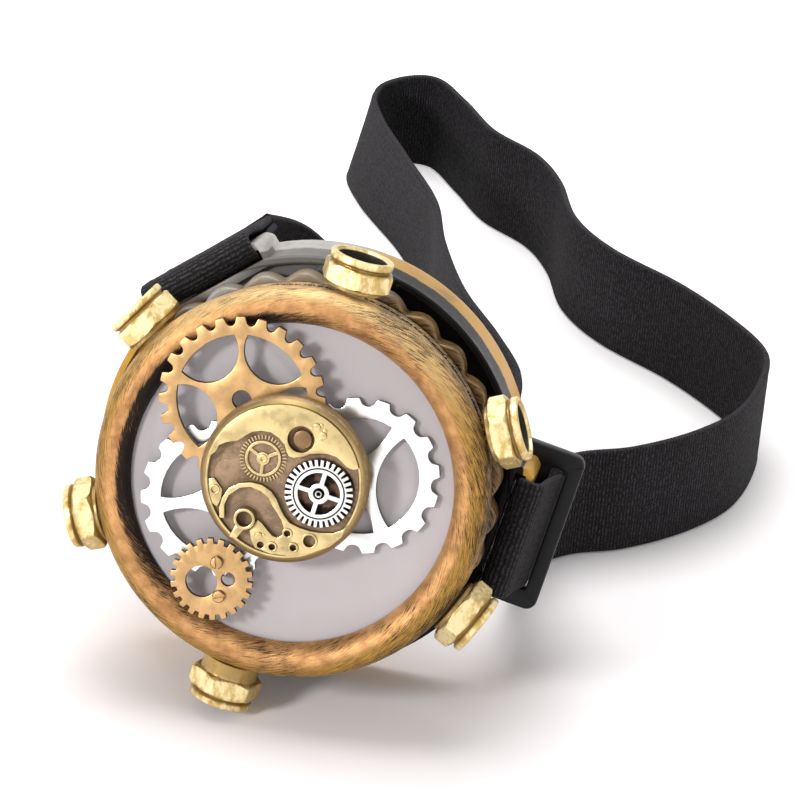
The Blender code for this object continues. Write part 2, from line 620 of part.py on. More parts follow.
def make_gear_screw(name, offset, turn, parent, finish):
    """Slotted screw head on the small gear."""
    low = 0.0
    high = SCREW_HEIGHT
    edge = SCREW_SLOT_DEPTH / 2
    profile = [(0.0, low), (SCREW_RADIUS, low), (SCREW_RADIUS, high - edge), (SCREW_RADIUS - edge, high),
               (0.0, high)]
    screw = make_object(name, turned_disc(profile, FINE_STEPS + 4), finish, parent)
    half = SCREW_SLOT_WIDTH / 2
    reach = SCREW_RADIUS + OVERRUN
    outline = [(-reach, -half), (reach, -half), (reach, half), (-reach, half)]
    slot = make_object(f"{name}_slot", plate(outline, [], high - SCREW_SLOT_DEPTH, high + OVERRUN), None, parent)
    boolean(screw, slot, "DIFFERENCE")
    centre = moved([offset], SMALL_GEAR_CENTRE)[0]
    level = BRASS_GEAR_LEVEL + BRASS_GEAR_THICKNESS + CLEARANCE
    for piece in (screw, slot):
        place_flat(piece, centre, turn, level)
    return screw


def movement_tool(name, outline, holes, height, parent):
    """A raised plate of the movement, rooted a little below its floor."""
    root = MOVEMENT_FLOOR - MOVEMENT_FLOOR_DROP
    return make_object(name, plate(outline, holes, root, MOVEMENT_FLOOR + height), None, parent)


def make_movement(parent, finish):
    """Cast watch movement: bevelled disc with bridges, a balance cock, a ratchet wheel and jewel holes."""
    lip_radius = MOVEMENT_RADIUS - MOVEMENT_BEVEL
    floor_radius = lip_radius - MOVEMENT_LIP_WIDTH
    profile = [(0.0, MOVEMENT_BACK), (MOVEMENT_RADIUS, MOVEMENT_BACK),
               (MOVEMENT_RADIUS, MOVEMENT_BACK + MOVEMENT_SIDE_HEIGHT), (lip_radius, MOVEMENT_LIP),
               (floor_radius, MOVEMENT_LIP), (floor_radius, MOVEMENT_FLOOR), (0.0, MOVEMENT_FLOOR)]
    shape = turned_disc(profile)
    bmesh.ops.translate(shape, verts=shape.verts, vec=(*MOVEMENT_CENTRE, 0.0))
    movement = make_object("movement_plate", shape, finish, parent)

    edge = [share_point(share) for share in UPPER_BRIDGE_EDGE_SHARES]
    bridge_radius = MOVEMENT_RADIUS - BRIDGE_EDGE
    first, last = UPPER_BRIDGE_EDGE_SHARES[0], UPPER_BRIDGE_EDGE_SHARES[-1]
    start = math.degrees(math.atan2(last[1], last[0]))
    end = math.degrees(math.atan2(first[1], first[0]))
    rim = arc(bridge_radius, start, end, 22, MOVEMENT_CENTRE)
    hole = circle(BRIDGE_HOLE_RADIUS, FINE_STEPS + 4, share_point(BRIDGE_HOLE_SHARES))
    tools = [movement_tool("upper_bridge", rim + edge, [hole], BRIDGE_HEIGHT, parent)]

    jewels = [circle(JEWEL_RADIUS, FINE_STEPS - 4, share_point(share)) for share in JEWEL_SHARES]
    jewels.append(circle(BANKING_JEWEL_RADIUS, FINE_STEPS, share_point(BANKING_JEWEL_SHARES)))
    lower = [share_point(share) for share in LOWER_BRIDGE_SHARES]
    tools.append(movement_tool("lower_bridge", lower, jewels, LOWER_BRIDGE_HEIGHT, parent))

    cock_centre = share_point(COCK_SHARES)
    cock = (arc(COCK_OUTER_RADIUS, -25.0, 225.0, 20, cock_centre)
            + arc(COCK_INNER_RADIUS, 225.0, -25.0, 20, cock_centre))
    tools.append(movement_tool("balance_cock", cock, [], COCK_HEIGHT, parent))
    stem = [share_point(share) for share in COCK_STEM_SHARES]
    tools.append(movement_tool("cock_stem", stem, [], LOWER_BRIDGE_HEIGHT + CLEARANCE, parent))
    boss_centre = share_point(BOSS_SHARES)
    tools.append(movement_tool("cock_boss", circle(BOSS_RADIUS, FINE_STEPS + 4, boss_centre),
                               [circle(BOSS_BORE_RADIUS, FINE_STEPS, boss_centre)], BOSS_HEIGHT, parent))

    ratchet_centre = share_point(RATCHET_SHARES)
    windows = [moved(sector_window(90.0 + 120.0 * window, 120.0, RATCHET_RADIUS - RATCHET_RIM,
                                   RATCHET_HUB_RADIUS, RATCHET_SPOKE_WIDTH), ratchet_centre)
               for window in range(3)]
    tools.append(movement_tool("ratchet_wheel", circle(RATCHET_RADIUS, SEGMENTS // 2, ratchet_centre), windows,
                               RATCHET_HEIGHT, parent))
    for tool in tools:
        boolean(movement, tool, "UNION")
    return movement


def make_wheel(parent, finish):
    """Small silver wheel with square teeth, five windows and a bored hub."""
    outline = square_tooth_outline(WHEEL_TEETH, WHEEL_RADIUS, WHEEL_TOOTH, SQUARE_GAP_SHARE)
    span = 360.0 / WHEEL_WINDOWS
    holes = [circle(WHEEL_BORE_RADIUS, FINE_STEPS)]
    for window in range(WHEEL_WINDOWS):
        holes.append(sector_window(span * (window + 0.5), span, WHEEL_RADIUS - WHEEL_TOOTH - WHEEL_RIM,
                                   WHEEL_HUB_RADIUS, WHEEL_SPOKE_WIDTH))
    wheel = make_object("movement_wheel", plate(outline, holes, 0.0, WHEEL_THICKNESS), finish, parent)
    return place_flat(wheel, share_point(WHEEL_SHARES), 80.0, MOVEMENT_FLOOR + CLEARANCE)


def make_hub_pin(parent, finish):
    """Hollow rivet that carries the small wheel."""
    radius = WHEEL_BORE_RADIUS - CLEARANCE
    profile = [(PIN_HOLE_RADIUS, 0.0), (radius, 0.0), (radius, PIN_LENGTH), (PIN_HOLE_RADIUS, PIN_LENGTH)]
    pin = make_object("movement_wheel_pin", revolve(profile, FINE_STEPS), finish, parent)
    return place_flat(pin, share_point(WHEEL_SHARES), 0.0, MOVEMENT_FLOOR + CLEARANCE)


def make_nut(index, parent, finish):
    """Hexagon nut with a round collar and an open bore, standing out of the bezel's side."""
    flat = NUT_FLATS / 2
    corner = flat / math.cos(math.pi / 6)
    hex_low = NUT_FOOT_HEIGHTS[index]
    hex_high = hex_low + NUT_HEX_HEIGHT
    groove = hex_high + NUT_GROOVE_WIDTH / 2
    collar_low = hex_high + NUT_GROOVE_WIDTH
    top = collar_low + NUT_COLLAR_HEIGHT
    lip = NUT_CHAMFER / 2
    edge = NUT_COLLAR_EDGE

    def ring(corner_radius, flat_radius, corner_level, flat_level):
        points = []
        for step in range(12):
            radius, level = (corner_radius, corner_level) if step % 2 == 0 else (flat_radius, flat_level)
            points.append((*polar(radius, 30.0 * step), level))
        return points

    rings = [
        ring(NUT_BORE_RADIUS, NUT_BORE_RADIUS, 0.0, 0.0),
        ring(NUT_FOOT_RADIUS, NUT_FOOT_RADIUS, 0.0, 0.0),
        ring(flat, flat - lip, hex_low, hex_low),
        ring(corner, flat, hex_low + NUT_CHAMFER, hex_low + lip),
        ring(corner, flat, hex_high - NUT_CHAMFER, hex_high - lip),
        ring(flat, flat - lip, hex_high, hex_high),
        ring(NUT_GROOVE_RADIUS, NUT_GROOVE_RADIUS, groove, groove),
        ring(NUT_COLLAR_RADIUS, NUT_COLLAR_RADIUS, collar_low, collar_low),
        ring(NUT_COLLAR_RADIUS, NUT_COLLAR_RADIUS, top - edge, top - edge),
        ring(NUT_COLLAR_RADIUS - edge, NUT_COLLAR_RADIUS - edge, top, top),
        ring(NUT_BORE_RADIUS, NUT_BORE_RADIUS, top, top)]
    nut = make_object(f"hex_nut_{index + 1}", loft(rings, closed=True), finish, parent)
    outward, _ = ear_directions(NUT_ANGLES[index])
    nut.location = outward * NUT_SEAT_RADIUS - Vector((0.0, 0.0, NUT_DEPTH))
    nut.rotation_mode = "QUATERNION"
    turn = Matrix.Rotation(math.radians(NUT_TURNS[index]), 4, "Z").to_quaternion()
    nut.rotation_quaternion = outward.to_track_quat("Z", "Y") @ turn
    return nut


def rounded_rectangle(half_x, half_y, corner, steps, centre=(0.0, 0.0)):
    """Corner points of a rectangle with round corners, counter-clockwise."""
    points = []
    for turn, sign_x, sign_y in ((0.0, 1, 1), (90.0, -1, 1), (180.0, -1, -1), (270.0, 1, -1)):
        middle = (centre[0] + sign_x * (half_x - corner), centre[1] + sign_y * (half_y - corner))
        points += arc(corner, turn, turn + 90.0, steps, middle)
    return points


def buckle_slot_distances():
    """Distances of the buckle's two slots from the face axis, where the two strap layers pass."""
    inner_layer = EAR_BAR_DISTANCE - EAR_SLOT_WIDTH / 2
    outer_layer = inner_layer + BUCKLE_BAR_WIDTH + BUCKLE_SLOT_WIDTH
    return inner_layer, outer_layer


def make_buckle(parent, finish):
    """Flat slide buckle with two slots, behind the eyecup's right ear."""
    inner_layer, outer_layer = buckle_slot_distances()
    middle = (inner_layer + outer_layer) / 2
    half_width = BUCKLE_WIDTH / 2
    half_length = BUCKLE_LENGTH / 2
    outline = rounded_rectangle(half_width, half_length, BUCKLE_CORNER, 4)
    slots = []
    for layer in (inner_layer, outer_layer):
        slots.append(rounded_rectangle(BUCKLE_SLOT_WIDTH / 2, EAR_SLOT_LENGTH / 2, BUCKLE_EDGE, 2,
                                       (layer - middle, 0.0)))
    buckle = make_object("strap_slide_buckle", plate(outline, slots, BUCKLE_BACK, BUCKLE_FRONT), finish, parent)
    outward, _ = ear_directions(RIGHT_EAR_ANGLE)
    buckle.location = outward * middle
    buckle.rotation_euler = (0.0, 0.0, math.atan2(outward.y, outward.x))
    return buckle


def smooth_stations(stations, steps):
    """Stations of position and width direction, read from a smooth curve through the given ones."""
    result = []
    for i in range(len(stations) - 1):
        before = stations[max(i - 1, 0)]
        start, end = stations[i], stations[i + 1]
        after = stations[min(i + 2, len(stations) - 1)]
        for step in range(steps):
            t = step / steps
            place = [0.5 * (2 * b + (c - a) * t + (2 * a - 5 * b + 4 * c - d) * t * t
                            + (3 * b - a - 3 * c + d) * t ** 3)
                     for a, b, c, d in zip(before[0], start[0], end[0], after[0])]
            result.append((Vector(place), start[1].lerp(end[1], t).normalized()))
    result.append(stations[-1])
    return result


def ear_stations(degrees, path, flip):
    """Stations of a strap path given as (distance, level) pairs across an ear."""
    outward, along = ear_directions(degrees)
    upward = (FACE_MATRIX.to_3x3() @ along) * flip
    stations = []
    for distance, level in path:
        place = FACE_MATRIX @ Vector((outward.x * distance, outward.y * distance, level))
        stations.append((place, upward.copy()))
    return stations


def ear_wrap(outer_path, inner_path):
    """Path from an outer layer over the front of the ear's bar to the inner layer."""
    inner_layer = EAR_BAR_DISTANCE - EAR_SLOT_WIDTH / 2
    outer_layer = EAR_BAR_DISTANCE + EAR_BAR_THICKNESS + CLEARANCE + STRAP_THICKNESS / 2
    middle = (inner_layer + outer_layer) / 2
    radius = (outer_layer - inner_layer) / 2
    level = EAR_FRONT - CLEARANCE
    bend = [(middle + radius * math.cos(math.pi * step / 8), level + radius * math.sin(math.pi * step / 8))
            for step in range(9)]
    return outer_path + bend + inner_path


def left_ear_path():
    """The long run comes to the left ear outside, wraps its bar and ends as a lap sewn behind the rim."""
    inner_layer = EAR_BAR_DISTANCE - EAR_SLOT_WIDTH / 2
    outer_layer = EAR_BAR_DISTANCE + EAR_BAR_THICKNESS + CLEARANCE + STRAP_THICKNESS / 2
    lap = outer_layer - STRAP_THICKNESS - CLEARANCE
    lap_middle = FACE_BACK - LAP_LENGTH * LAP_SPREAD_SHARE
    outer = [(outer_layer, FACE_BACK - LAP_LENGTH), (outer_layer, lap_middle), (outer_layer, FACE_BACK),
             (outer_layer, (EAR_FRONT + FACE_BACK) / 2)]
    inner = [(inner_layer, (EAR_FRONT + FACE_BACK) / 2), (inner_layer, FACE_BACK), (lap, lap_middle),
             (lap, FACE_BACK - LAP_LENGTH)]
    return ear_wrap(outer, inner)


def right_ear_path():
    """Tail straight behind the buckle, over the ear's bar and straight back through the near slot."""
    inner_layer, outer_slot = buckle_slot_distances()
    middle = (EAR_FRONT + FACE_BACK) / 2
    halfway = (outer_slot + EAR_BAR_DISTANCE + EAR_BAR_THICKNESS + CLEARANCE + STRAP_THICKNESS / 2) / 2
    outer = [(outer_slot, BUCKLE_BACK - TAIL_LENGTH), (outer_slot, BUCKLE_BACK - TAIL_LENGTH / 2),
             (outer_slot, BUCKLE_BACK), (outer_slot, BUCKLE_FRONT), (halfway, middle)]
    inner = [(inner_layer, middle), (inner_layer, FACE_BACK), (inner_layer, BUCKLE_BACK),
             (inner_layer, BUCKLE_BACK - BUCKLE_SLIDE)]
    return ear_wrap(outer, inner)


def table_stations(left_end, right_end):
    """Stations along the table, standing on the strap's edge and climbing to both ears."""
    stations = []
    half = len(STRAP_ROUTE_SHARES) // 2
    for index, (x, y, climb, lean_x, lean_y) in enumerate(STRAP_ROUTE_SHARES):
        upright = Vector((lean_x, lean_y, 1.0)).normalized()
        rest = (STRAP_WIDTH * upright.z + STRAP_THICKNESS * math.sqrt(1.0 - upright.z ** 2)) / 2
        ear = left_end if index < half else right_end
        height = rest + climb * (ear[0].z - rest)
        stations.append((Vector((x * LOOP_DEPTH, y * LOOP_DEPTH, height)), upright.lerp(ear[1], climb)))
    return stations


def make_strap(parent, finish):
    """One flat elastic band from the left ear round the table to the right ear and its buckle."""
    left = ear_stations(LEFT_EAR_ANGLE, left_ear_path(), 1.0)
    right = ear_stations(RIGHT_EAR_ANGLE, right_ear_path(), -1.0)
    left.reverse()
    right.reverse()
    route = smooth_stations([left[-1], *table_stations(left[-1], right[0]), right[0]], ROUTE_STEPS)
    stations = left[:-1] + route + right[1:]
    rings = []
    for i, (place, width_way) in enumerate(stations):
        ahead = stations[min(i + 1, len(stations) - 1)][0] - stations[max(i - 1, 0)][0]
        ahead.normalize()
        across = (width_way - ahead * width_way.dot(ahead)).normalized() * STRAP_WIDTH / 2
        through = ahead.cross(across).normalized() * STRAP_THICKNESS / 2
        ring = [place - across - through, place + across - through, place + across + through,
                place - across + through]
        sunk = Vector((0.0, 0.0, min(0.0, min(corner.z for corner in ring))))
        rings.append([corner - sunk for corner in ring])
    return make_object("head_strap", loft(rings), finish, parent)


def centre_on_table(root):
    """Move the whole monocle so that its box stands on the origin."""
    bpy.context.view_layer.update()
    graph = bpy.context.evaluated_depsgraph_get()
    low = Vector((math.inf, math.inf, math.inf))
    high = -low
    for obj in bpy.data.objects:
        if obj.type != "MESH" or obj.hide_render:
            continue
        shown = obj.evaluated_get(graph)
        for vertex in shown.data.vertices:
            place = shown.matrix_world @ vertex.co
            low = Vector(map(min, low, place))
            high = Vector(map(max, high, place))
    root.location = (-(low.x + high.x) / 2, -(low.y + high.y) / 2, -low.z)
    bpy.context.view_layer.update()


def main():
    """Build every piece of the monocle."""
    clear_scene()
    bronze = make_material("antique_bronze", (0.42, 0.22, 0.08), 0.38, 1.0)
    bronze_rim = make_material("bronze_painted_cup", (0.36, 0.20, 0.08), 0.35, 0.8)
    grip = make_material("dark_bronze_grip", (0.14, 0.10, 0.07), 0.30, 0.7)
    pale_gold = make_material("pale_gold", (0.80, 0.62, 0.24), 0.30, 1.0)
    brass = make_material("antique_brass", (0.60, 0.38, 0.16), 0.40, 1.0)
    silver = make_material("bright_silver", (0.88, 0.88, 0.86), 0.22, 1.0)
    old_silver = make_material("antique_silver", (0.70, 0.69, 0.66), 0.30, 1.0)
    clear = make_material("clear_lens", (0.90, 0.88, 0.89), 0.05, 0.0, alpha=0.35)
    rubber = make_material("black_gasket", (0.02, 0.02, 0.02), 0.60, 0.0)
    webbing = make_material("black_elastic", (0.015, 0.014, 0.017), 0.85, 0.0)
    plastic = make_material("black_plastic", (0.02, 0.02, 0.022), 0.45, 0.0)

    table = make_frame("table_frame")
    face = make_frame("face_frame", table, FACE_MATRIX)
    lens_cap = make_frame("lens_cap_frame", face)

    make_eyecup(face, bronze_rim)
    make_buckle(face, plastic)
    make_strap(table, webbing)

    make_grip_ring(lens_cap, grip)
    make_bezel(lens_cap, bronze)
    make_lens(lens_cap, clear)
    make_gasket(lens_cap, rubber)
    make_silver_gear("silver_gear_right", RIGHT_GEAR_CENTRE, RIGHT_GEAR_SPOKE_ANGLE, LOWER_GEAR_LEVEL,
                     lens_cap, silver)
    make_silver_gear("silver_gear_left", LEFT_GEAR_CENTRE, LEFT_GEAR_SPOKE_ANGLE, UPPER_GEAR_LEVEL,
                     lens_cap, silver)
    make_brass_gear(lens_cap, brass)
    make_small_gear(lens_cap, brass)
    for name, offset, turn in zip(("gear_screw_upper", "gear_screw_lower"), SCREW_OFFSETS, (100.0, 20.0)):
        make_gear_screw(name, offset, turn, lens_cap, brass)
    make_movement(lens_cap, brass)
    make_wheel(lens_cap, old_silver)
    make_hub_pin(lens_cap, old_silver)
    for index in range(len(NUT_ANGLES)):
        make_nut(index, lens_cap, pale_gold)
    centre_on_table(table)


main()
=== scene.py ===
"""Clockwork monocle: finished pieces, finishes and a plain studio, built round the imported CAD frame."""

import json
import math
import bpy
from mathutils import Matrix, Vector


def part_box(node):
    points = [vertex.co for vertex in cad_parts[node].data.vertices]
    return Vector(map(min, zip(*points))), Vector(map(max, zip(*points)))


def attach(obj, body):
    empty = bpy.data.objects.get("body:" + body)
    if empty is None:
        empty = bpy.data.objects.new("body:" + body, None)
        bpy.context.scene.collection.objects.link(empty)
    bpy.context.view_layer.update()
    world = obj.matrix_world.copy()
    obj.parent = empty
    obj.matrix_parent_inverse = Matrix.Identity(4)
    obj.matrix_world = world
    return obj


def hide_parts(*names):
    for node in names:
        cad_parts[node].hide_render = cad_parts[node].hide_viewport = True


bl_info = {
    "name": "Clockwork Monocle",
    "version": (1, 0, 0),
    "blender": (4, 5, 0),
    "location": "3D View > Sidebar > Monocle",
    "description": "Models and finishes a goggle monocle with gears, nuts and an elastic head strap",
    "category": "Object",
}

import bmesh
import bpy
from bpy.props import FloatProperty, FloatVectorProperty, IntProperty, PointerProperty
from mathutils import Matrix, Vector

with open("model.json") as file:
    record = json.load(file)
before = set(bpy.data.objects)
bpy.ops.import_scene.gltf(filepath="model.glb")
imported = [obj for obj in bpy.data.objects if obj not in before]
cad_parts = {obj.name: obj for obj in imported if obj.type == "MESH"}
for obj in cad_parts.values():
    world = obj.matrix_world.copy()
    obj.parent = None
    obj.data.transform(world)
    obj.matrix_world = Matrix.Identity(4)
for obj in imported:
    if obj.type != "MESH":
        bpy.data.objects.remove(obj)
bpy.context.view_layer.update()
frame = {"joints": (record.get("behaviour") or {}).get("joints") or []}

# The face frame: X to the right, Y up the face, Z out of the lens, from the joint that the cap turns on
CAP_JOINT = next(joint for joint in frame["joints"] if joint["name"] == "cap_unscrew")
FACE_CENTRE = Vector(CAP_JOINT["pos_m"])
FACE_NORMAL = Vector(CAP_JOINT["axis"])
TILT = math.asin(FACE_NORMAL.z)
FACE = Matrix.Translation(FACE_CENTRE) @ Matrix.Rotation(math.pi / 2 - TILT, 4, "X")

# Side of the small square that a drawn line starts from, and how near to each other points are merged
SPECK = 0.0001
MERGE = 0.000002

# Clearances between parts, between ear and buckle, and at each end of a slot for the band
GAP = 0.0003
BUCKLE_GAP = 0.0004
SLOT_ROOM = 0.0004

# Thickness of the lens, and the small edge on many pieces
LENS_THICKNESS = 0.0020
EDGE = 0.0001


def size(name, default, description):
    """A length that a user may change."""
    return FloatProperty(name=name, description=description, default=default, unit="LENGTH", precision=5)


def tint(name, default, description):
    """A colour that a user may change."""
    return FloatVectorProperty(name=name, description=description, default=default, subtype="COLOR",
                               min=0.0, max=1.0)


class MonocleCase(bpy.types.PropertyGroup):
    """Sizes of the cup, the bezel, the grip ring and the nuts."""

    lens_radius: size("Lens radius", 0.0266, "Radius of the clear lens")
    lens_front: size("Lens front", 0.0003, "Level of the lens's front")
    bezel_radius: size("Bezel radius", 0.0310, "Outside of the rounded ring")
    tube_radius: size("Bezel roll", 0.0029, "Half the thickness of the rounded ring")
    skirt_radius: size("Skirt radius", 0.0302, "Side band behind the rounded ring")
    skirt_depth: size("Skirt depth", 0.0076, "Level of the side band's back edge, behind the roll's middle")
    neck_radius: size("Neck radius", 0.0289, "Dark neck behind the side band")
    neck_depth: size("Neck depth", 0.0085, "Level of the neck's back")
    grip_radius: size("Grip radius", 0.0313, "Top of the grip ring's scallops")
    grip_bore: size("Grip bore", 0.0279, "Inside of the grip ring")
    grip_dip: size("Scallop depth", 0.0015, "Depth of the scallops")
    grip_front: size("Grip front", 0.0088, "Level of the grip ring's front")
    grip_back: size("Grip back", 0.0130, "Level of the grip ring's back")
    grip_scallops: IntProperty(name="Scallops", description="Number of scallops", default=28)
    cup_bore: size("Cup bore", 0.0250, "Inside of the cup")
    spigot_radius: size("Spigot radius", 0.0266, "Outside of the cup's front tube")
    spigot_front: size("Spigot front", 0.0038, "Level of the front tube's edge")
    thread_radius: size("Thread radius", 0.0276, "Outside of the cup under the grip ring")
    rim_front: size("Rim front", 0.0133, "Level of the gold rim's front edge")
    rim_front_radius: size("Rim front radius", 0.0332, "Radius of the gold rim in front")
    rim_radius: size("Rim radius", 0.0339, "Radius of the gold rim at the back")
    rim_wall: size("Rim wall", 0.0013, "Thickness of the gold rim")
    face_back: size("Face depth", 0.0240, "Level of the edge that rests on the face")
    web_front: size("Web front", 0.0150, "Level of the recessed web's front")
    web_back: size("Web back", 0.0168, "Level of the recessed web's back")
    nut_seat: size("Nut seat", 0.0313, "Distance of a nut's foot from the lens axis")
    nut_flats: size("Nut flats", 0.0102, "Width of a nut across its flats")
    nut_foot: size("Nut foot", 0.0006, "Height of the round foot")
    nut_tall_foot: size("Tall foot", 0.00235, "Height of the foot of the nut that the monocle stands on")
    nut_foot_radius: size("Foot radius", 0.0045, "Radius of the round foot")
    nut_hex: size("Nut hexagon", 0.0032, "Height of the hexagon")
    nut_groove: size("Nut groove", 0.0004, "Width of the groove under the collar")
    nut_groove_radius: size("Groove radius", 0.0045, "Radius at the bottom of the groove")
    nut_collar: size("Nut collar", 0.0012, "Height of the round collar")
    nut_collar_radius: size("Collar radius", 0.0050, "Radius of the round collar")
    nut_bore: size("Nut bore", 0.0039, "Radius of the hole")
    nut_level: size("Nut level", 0.0042, "Level of the nuts' axes behind the roll's middle")


class MonocleClockwork(bpy.types.PropertyGroup):
    """Sizes of the gears and the watch movement."""

    brass_radius: size("Brass gear", 0.0130, "Tip radius of the large brass gear")
    brass_tooth: size("Brass tooth", 0.0014, "Depth of its teeth")
    brass_level: size("Brass level", 0.0032, "Level of its underside")
    brass_thickness: size("Brass thickness", 0.0010, "Thickness of both brass gears")
    silver_radius: size("Silver gear", 0.0123, "Tip radius of the silver gears")
    silver_tooth: size("Silver tooth", 0.0013, "Depth of their teeth")
    silver_low: size("Lower silver level", 0.0006, "Level of the right gear's underside")
    silver_high: size("Upper silver level", 0.0017, "Level of the left gear's underside")
    silver_thickness: size("Silver thickness", 0.0008, "Thickness of the silver gears")
    small_radius: size("Small gear", 0.0065, "Tip radius of the small brass gear")
    small_tooth: size("Small tooth", 0.0008, "Depth of its teeth")
    screw_radius: size("Screw head", 0.0010, "Radius of the screws on the small gear")
    screw_height: size("Screw height", 0.0005, "Height of the screws on the small gear")
    movement_radius: size("Movement", 0.0131, "Radius of the watch movement")
    movement_back: size("Movement back", 0.0045, "Level of its underside")
    movement_side: size("Movement side", 0.0018, "Height of its straight side")
    movement_bevel: size("Movement bevel", 0.0009, "Width and height of its bevelled edge")
    movement_lip: size("Movement lip", 0.0005, "Width of the raised edge")
    movement_drop: size("Floor drop", 0.0007, "Depth of its floor under the raised edge")
    wheel_radius: size("Small wheel", 0.0053, "Tip radius of the silver wheel on the movement")
    wheel_tooth: size("Wheel tooth", 0.0010, "Depth of its teeth")
    wheel_thickness: size("Wheel thickness", 0.0008, "Thickness of the silver wheel")


class MonocleStrap(bpy.types.PropertyGroup):
    """Sizes of the head strap and its buckle."""

    width: size("Strap width", 0.0196, "Width of the elastic band")
    thickness: size("Strap thickness", 0.0012, "Thickness of the elastic band")
    loop_depth: size("Loop depth", 0.2030, "Distance from the lens to the far turn of the loop")
    ear_distance: size("Ear bar distance", 0.0332, "Distance of an ear's bar from the lens axis")
    ear_bar: size("Ear bar", 0.0012, "Thickness of an ear's bar")
    belly: size("Belly", 0.0009, "Bulge of the band where it turns round an ear")
    ear_slot: size("Ear slot", 0.0018, "Width of an ear's slot")
    buckle_length: size("Buckle length", 0.0266, "Length of the buckle")
    buckle_width: size("Buckle width", 0.0124, "Width of the buckle")
    buckle_thickness: size("Buckle thickness", 0.0022, "Thickness of the buckle")
    buckle_bar: size("Buckle bar", 0.0024, "Width of the bar between the slots")
    buckle_slot: size("Buckle slot", 0.0026, "Width of each slot")
    tail: size("Tail", 0.0115, "Free end behind the buckle")
    rib_pitch: size("Rib pitch", 0.00060, "Distance between the webbing's ribs")


class MonocleColours(bpy.types.PropertyGroup):
    """Colours of the finishes."""

    bronze: tint("Bronze", (0.37, 0.180, 0.068), "Body colour of the bezel")
    bronze_light: tint("Bronze light", (0.68, 0.37, 0.145), "Rubbed places of the bezel")
    bronze_deep: tint("Bronze deep", (0.20, 0.105, 0.045), "Brushed shade on the bezel")
    # Also painted shade on the bezel's inner edge, right-hand sides and neck
    bronze_dark: tint("Bronze dark", (0.018, 0.012, 0.009), "Black brush strokes")
    rim_gold: tint("Rim gold", (0.50, 0.28, 0.062), "Mustard gold of the edges and the rim")
    # Painted reflection at the top of the cup and painted highlight on the grip's top-left scallops
    grey_sheen: tint("Grey sheen", (0.46, 0.435, 0.41), "Grey worn places")
    black_gloss: tint("Black gloss", (0.010, 0.009, 0.009), "Glossy black of the cup")
    nut_gold: tint("Nut gold", (0.60, 0.42, 0.13), "Body colour of the nuts")
    # Cream strokes, also a painted highlight on the nuts' faces turned to the upper left
    nut_cream_highlight: tint("Nut cream", (0.90, 0.74, 0.40), "Light streaks of the nuts")
    # Painted shade in the nuts' grooves and at their feet
    nut_groove_shade: tint("Nut brown", (0.30, 0.17, 0.03), "Grooves of the nuts")
    brass: tint("Brass", (0.58, 0.36, 0.160), "Brass gears")
    movement: tint("Movement gold", (0.70, 0.54, 0.26), "Bridges of the movement")
    movement_floor: tint("Movement floor", (0.34, 0.235, 0.15), "Recesses of the movement")
    movement_plug: tint("Movement plug", (0.25, 0.145, 0.075), "Copper plug in the upper bridge")
    silver: tint("Silver", (0.95, 0.95, 0.94), "Silver gears")
    # Painted shade: the tint stands in for the shaded table seen through the lens
    lens: tint("Lens", (0.60, 0.55, 0.56), "Tint of the lens")
    webbing: tint("Webbing", (0.0068, 0.0060, 0.0070), "Elastic band")
    plastic: tint("Buckle", (0.006, 0.006, 0.007), "Buckle")


# Nuts as their angle round the face, clockwise from the top, and the turn about their own axis
NUTS = ((9.5, -16.0), (68.7, 0.0), (121.5, -12.0), (191.9, -18.0), (250.7, 4.0), (308.8, -10.0))
STANDING_NUT = 3
EARS = LEFT_EAR, RIGHT_EAR = (-37.0, 101.5)
BRASS_PLACE = (-0.0087, 0.0127)
RIGHT_GEAR_PLACE = (0.0106, 0.0031)
LEFT_GEAR_PLACE = (-0.0107, -0.0038)
SMALL_GEAR_PLACE = (-0.0101, -0.0162)
MOVEMENT_PLACE = (-0.0004, 0.0019)

# Depth of a tooth gap at each step round one tooth, as a share of the tooth's depth
ROUND_GAP = (0.0, 0.0, 0.0, 0.745, 0.943, 1.0, 0.943, 0.745, 0.0, 0.0)
SQUARE_GAP = (0.0,) * 5 + (1.0,) * 7 + (0.0,) * 4

# Lines and bands of the bezel's skirt as (distance outwards, level)
SKIRT_BANDS = ((0.0, -0.0045), (-0.0003, -0.0047), (-0.0003, -0.0049), (0.0001, -0.0051), (0.0001, -0.0059),
               (-0.0002, -0.0061), (-0.0002, -0.0063), (0.0, -0.0065))

# Places on the movement in hundredths of its radius
UPPER_BRIDGE = (
    (-91, 14), (-86, 20), (-82, 24), (-79, 32), (-71, 37), (-58, 41), (-53, 45), (-49, 49), (-42, 54),
    (-32, 57), (-20, 57), (-10, 52), (-2, 45), (1, 37), (4, 32), (10, 31), (20, 34), (29, 39), (39, 41),
    (49, 42), (60, 40), (67, 35), (73, 30), (81, 28))
LOWER_BRIDGE = (
    (-69, -56), (-71, -43), (-69, -31), (-62, -18), (-50, -10), (-37, -7), (-24, -8), (-12, -14), (-4, -23),
    (2, -34), (7, -41), (14, -48), (26, -52), (38, -54), (51, -54), (66, -52), (76, -47), (82, -40),
    (77, -56), (65, -69), (45, -80), (19, -88), (-4, -89), (-23, -85), (-29, -76), (-32, -65), (-24, -50),
    (-18, -54), (-11, -61), (-4, -67), (2, -68), (7, -64), (8, -56), (4, -47), (-3, -38), (-9, -31),
    (-15, -22), (-25, -16), (-37, -13), (-49, -16), (-61, -27), (-65, -40), (-63, -55))
FLOOR_LEDGE = (
    (-82, -11), (-82, 2), (-79, 10), (-72, 14), (-65, 14), (-59, 18), (-52, 18), (-51, 9), (-46, 0),
    (-39, -5), (-51, -9), (-63, -17), (-70, -29), (-75, -34))
COCK_STEM = ((-49, -60), (-55, -76), (-46, -77), (-37, -62))
LEFT_PLATE = ((-88, -12), (-82, -9), (-70, -22), (-70, -34), (-74, -44), (-81, -40), (-86, -28))
BRIDGE_HOLE = (16, 54)
RATCHET = (-27, 22)
WHEEL = (44, -8)
JEWELS = ((13, -61), (-3, -80), (-17, -80), (22, -77))
BIG_JEWEL = (40, -66)
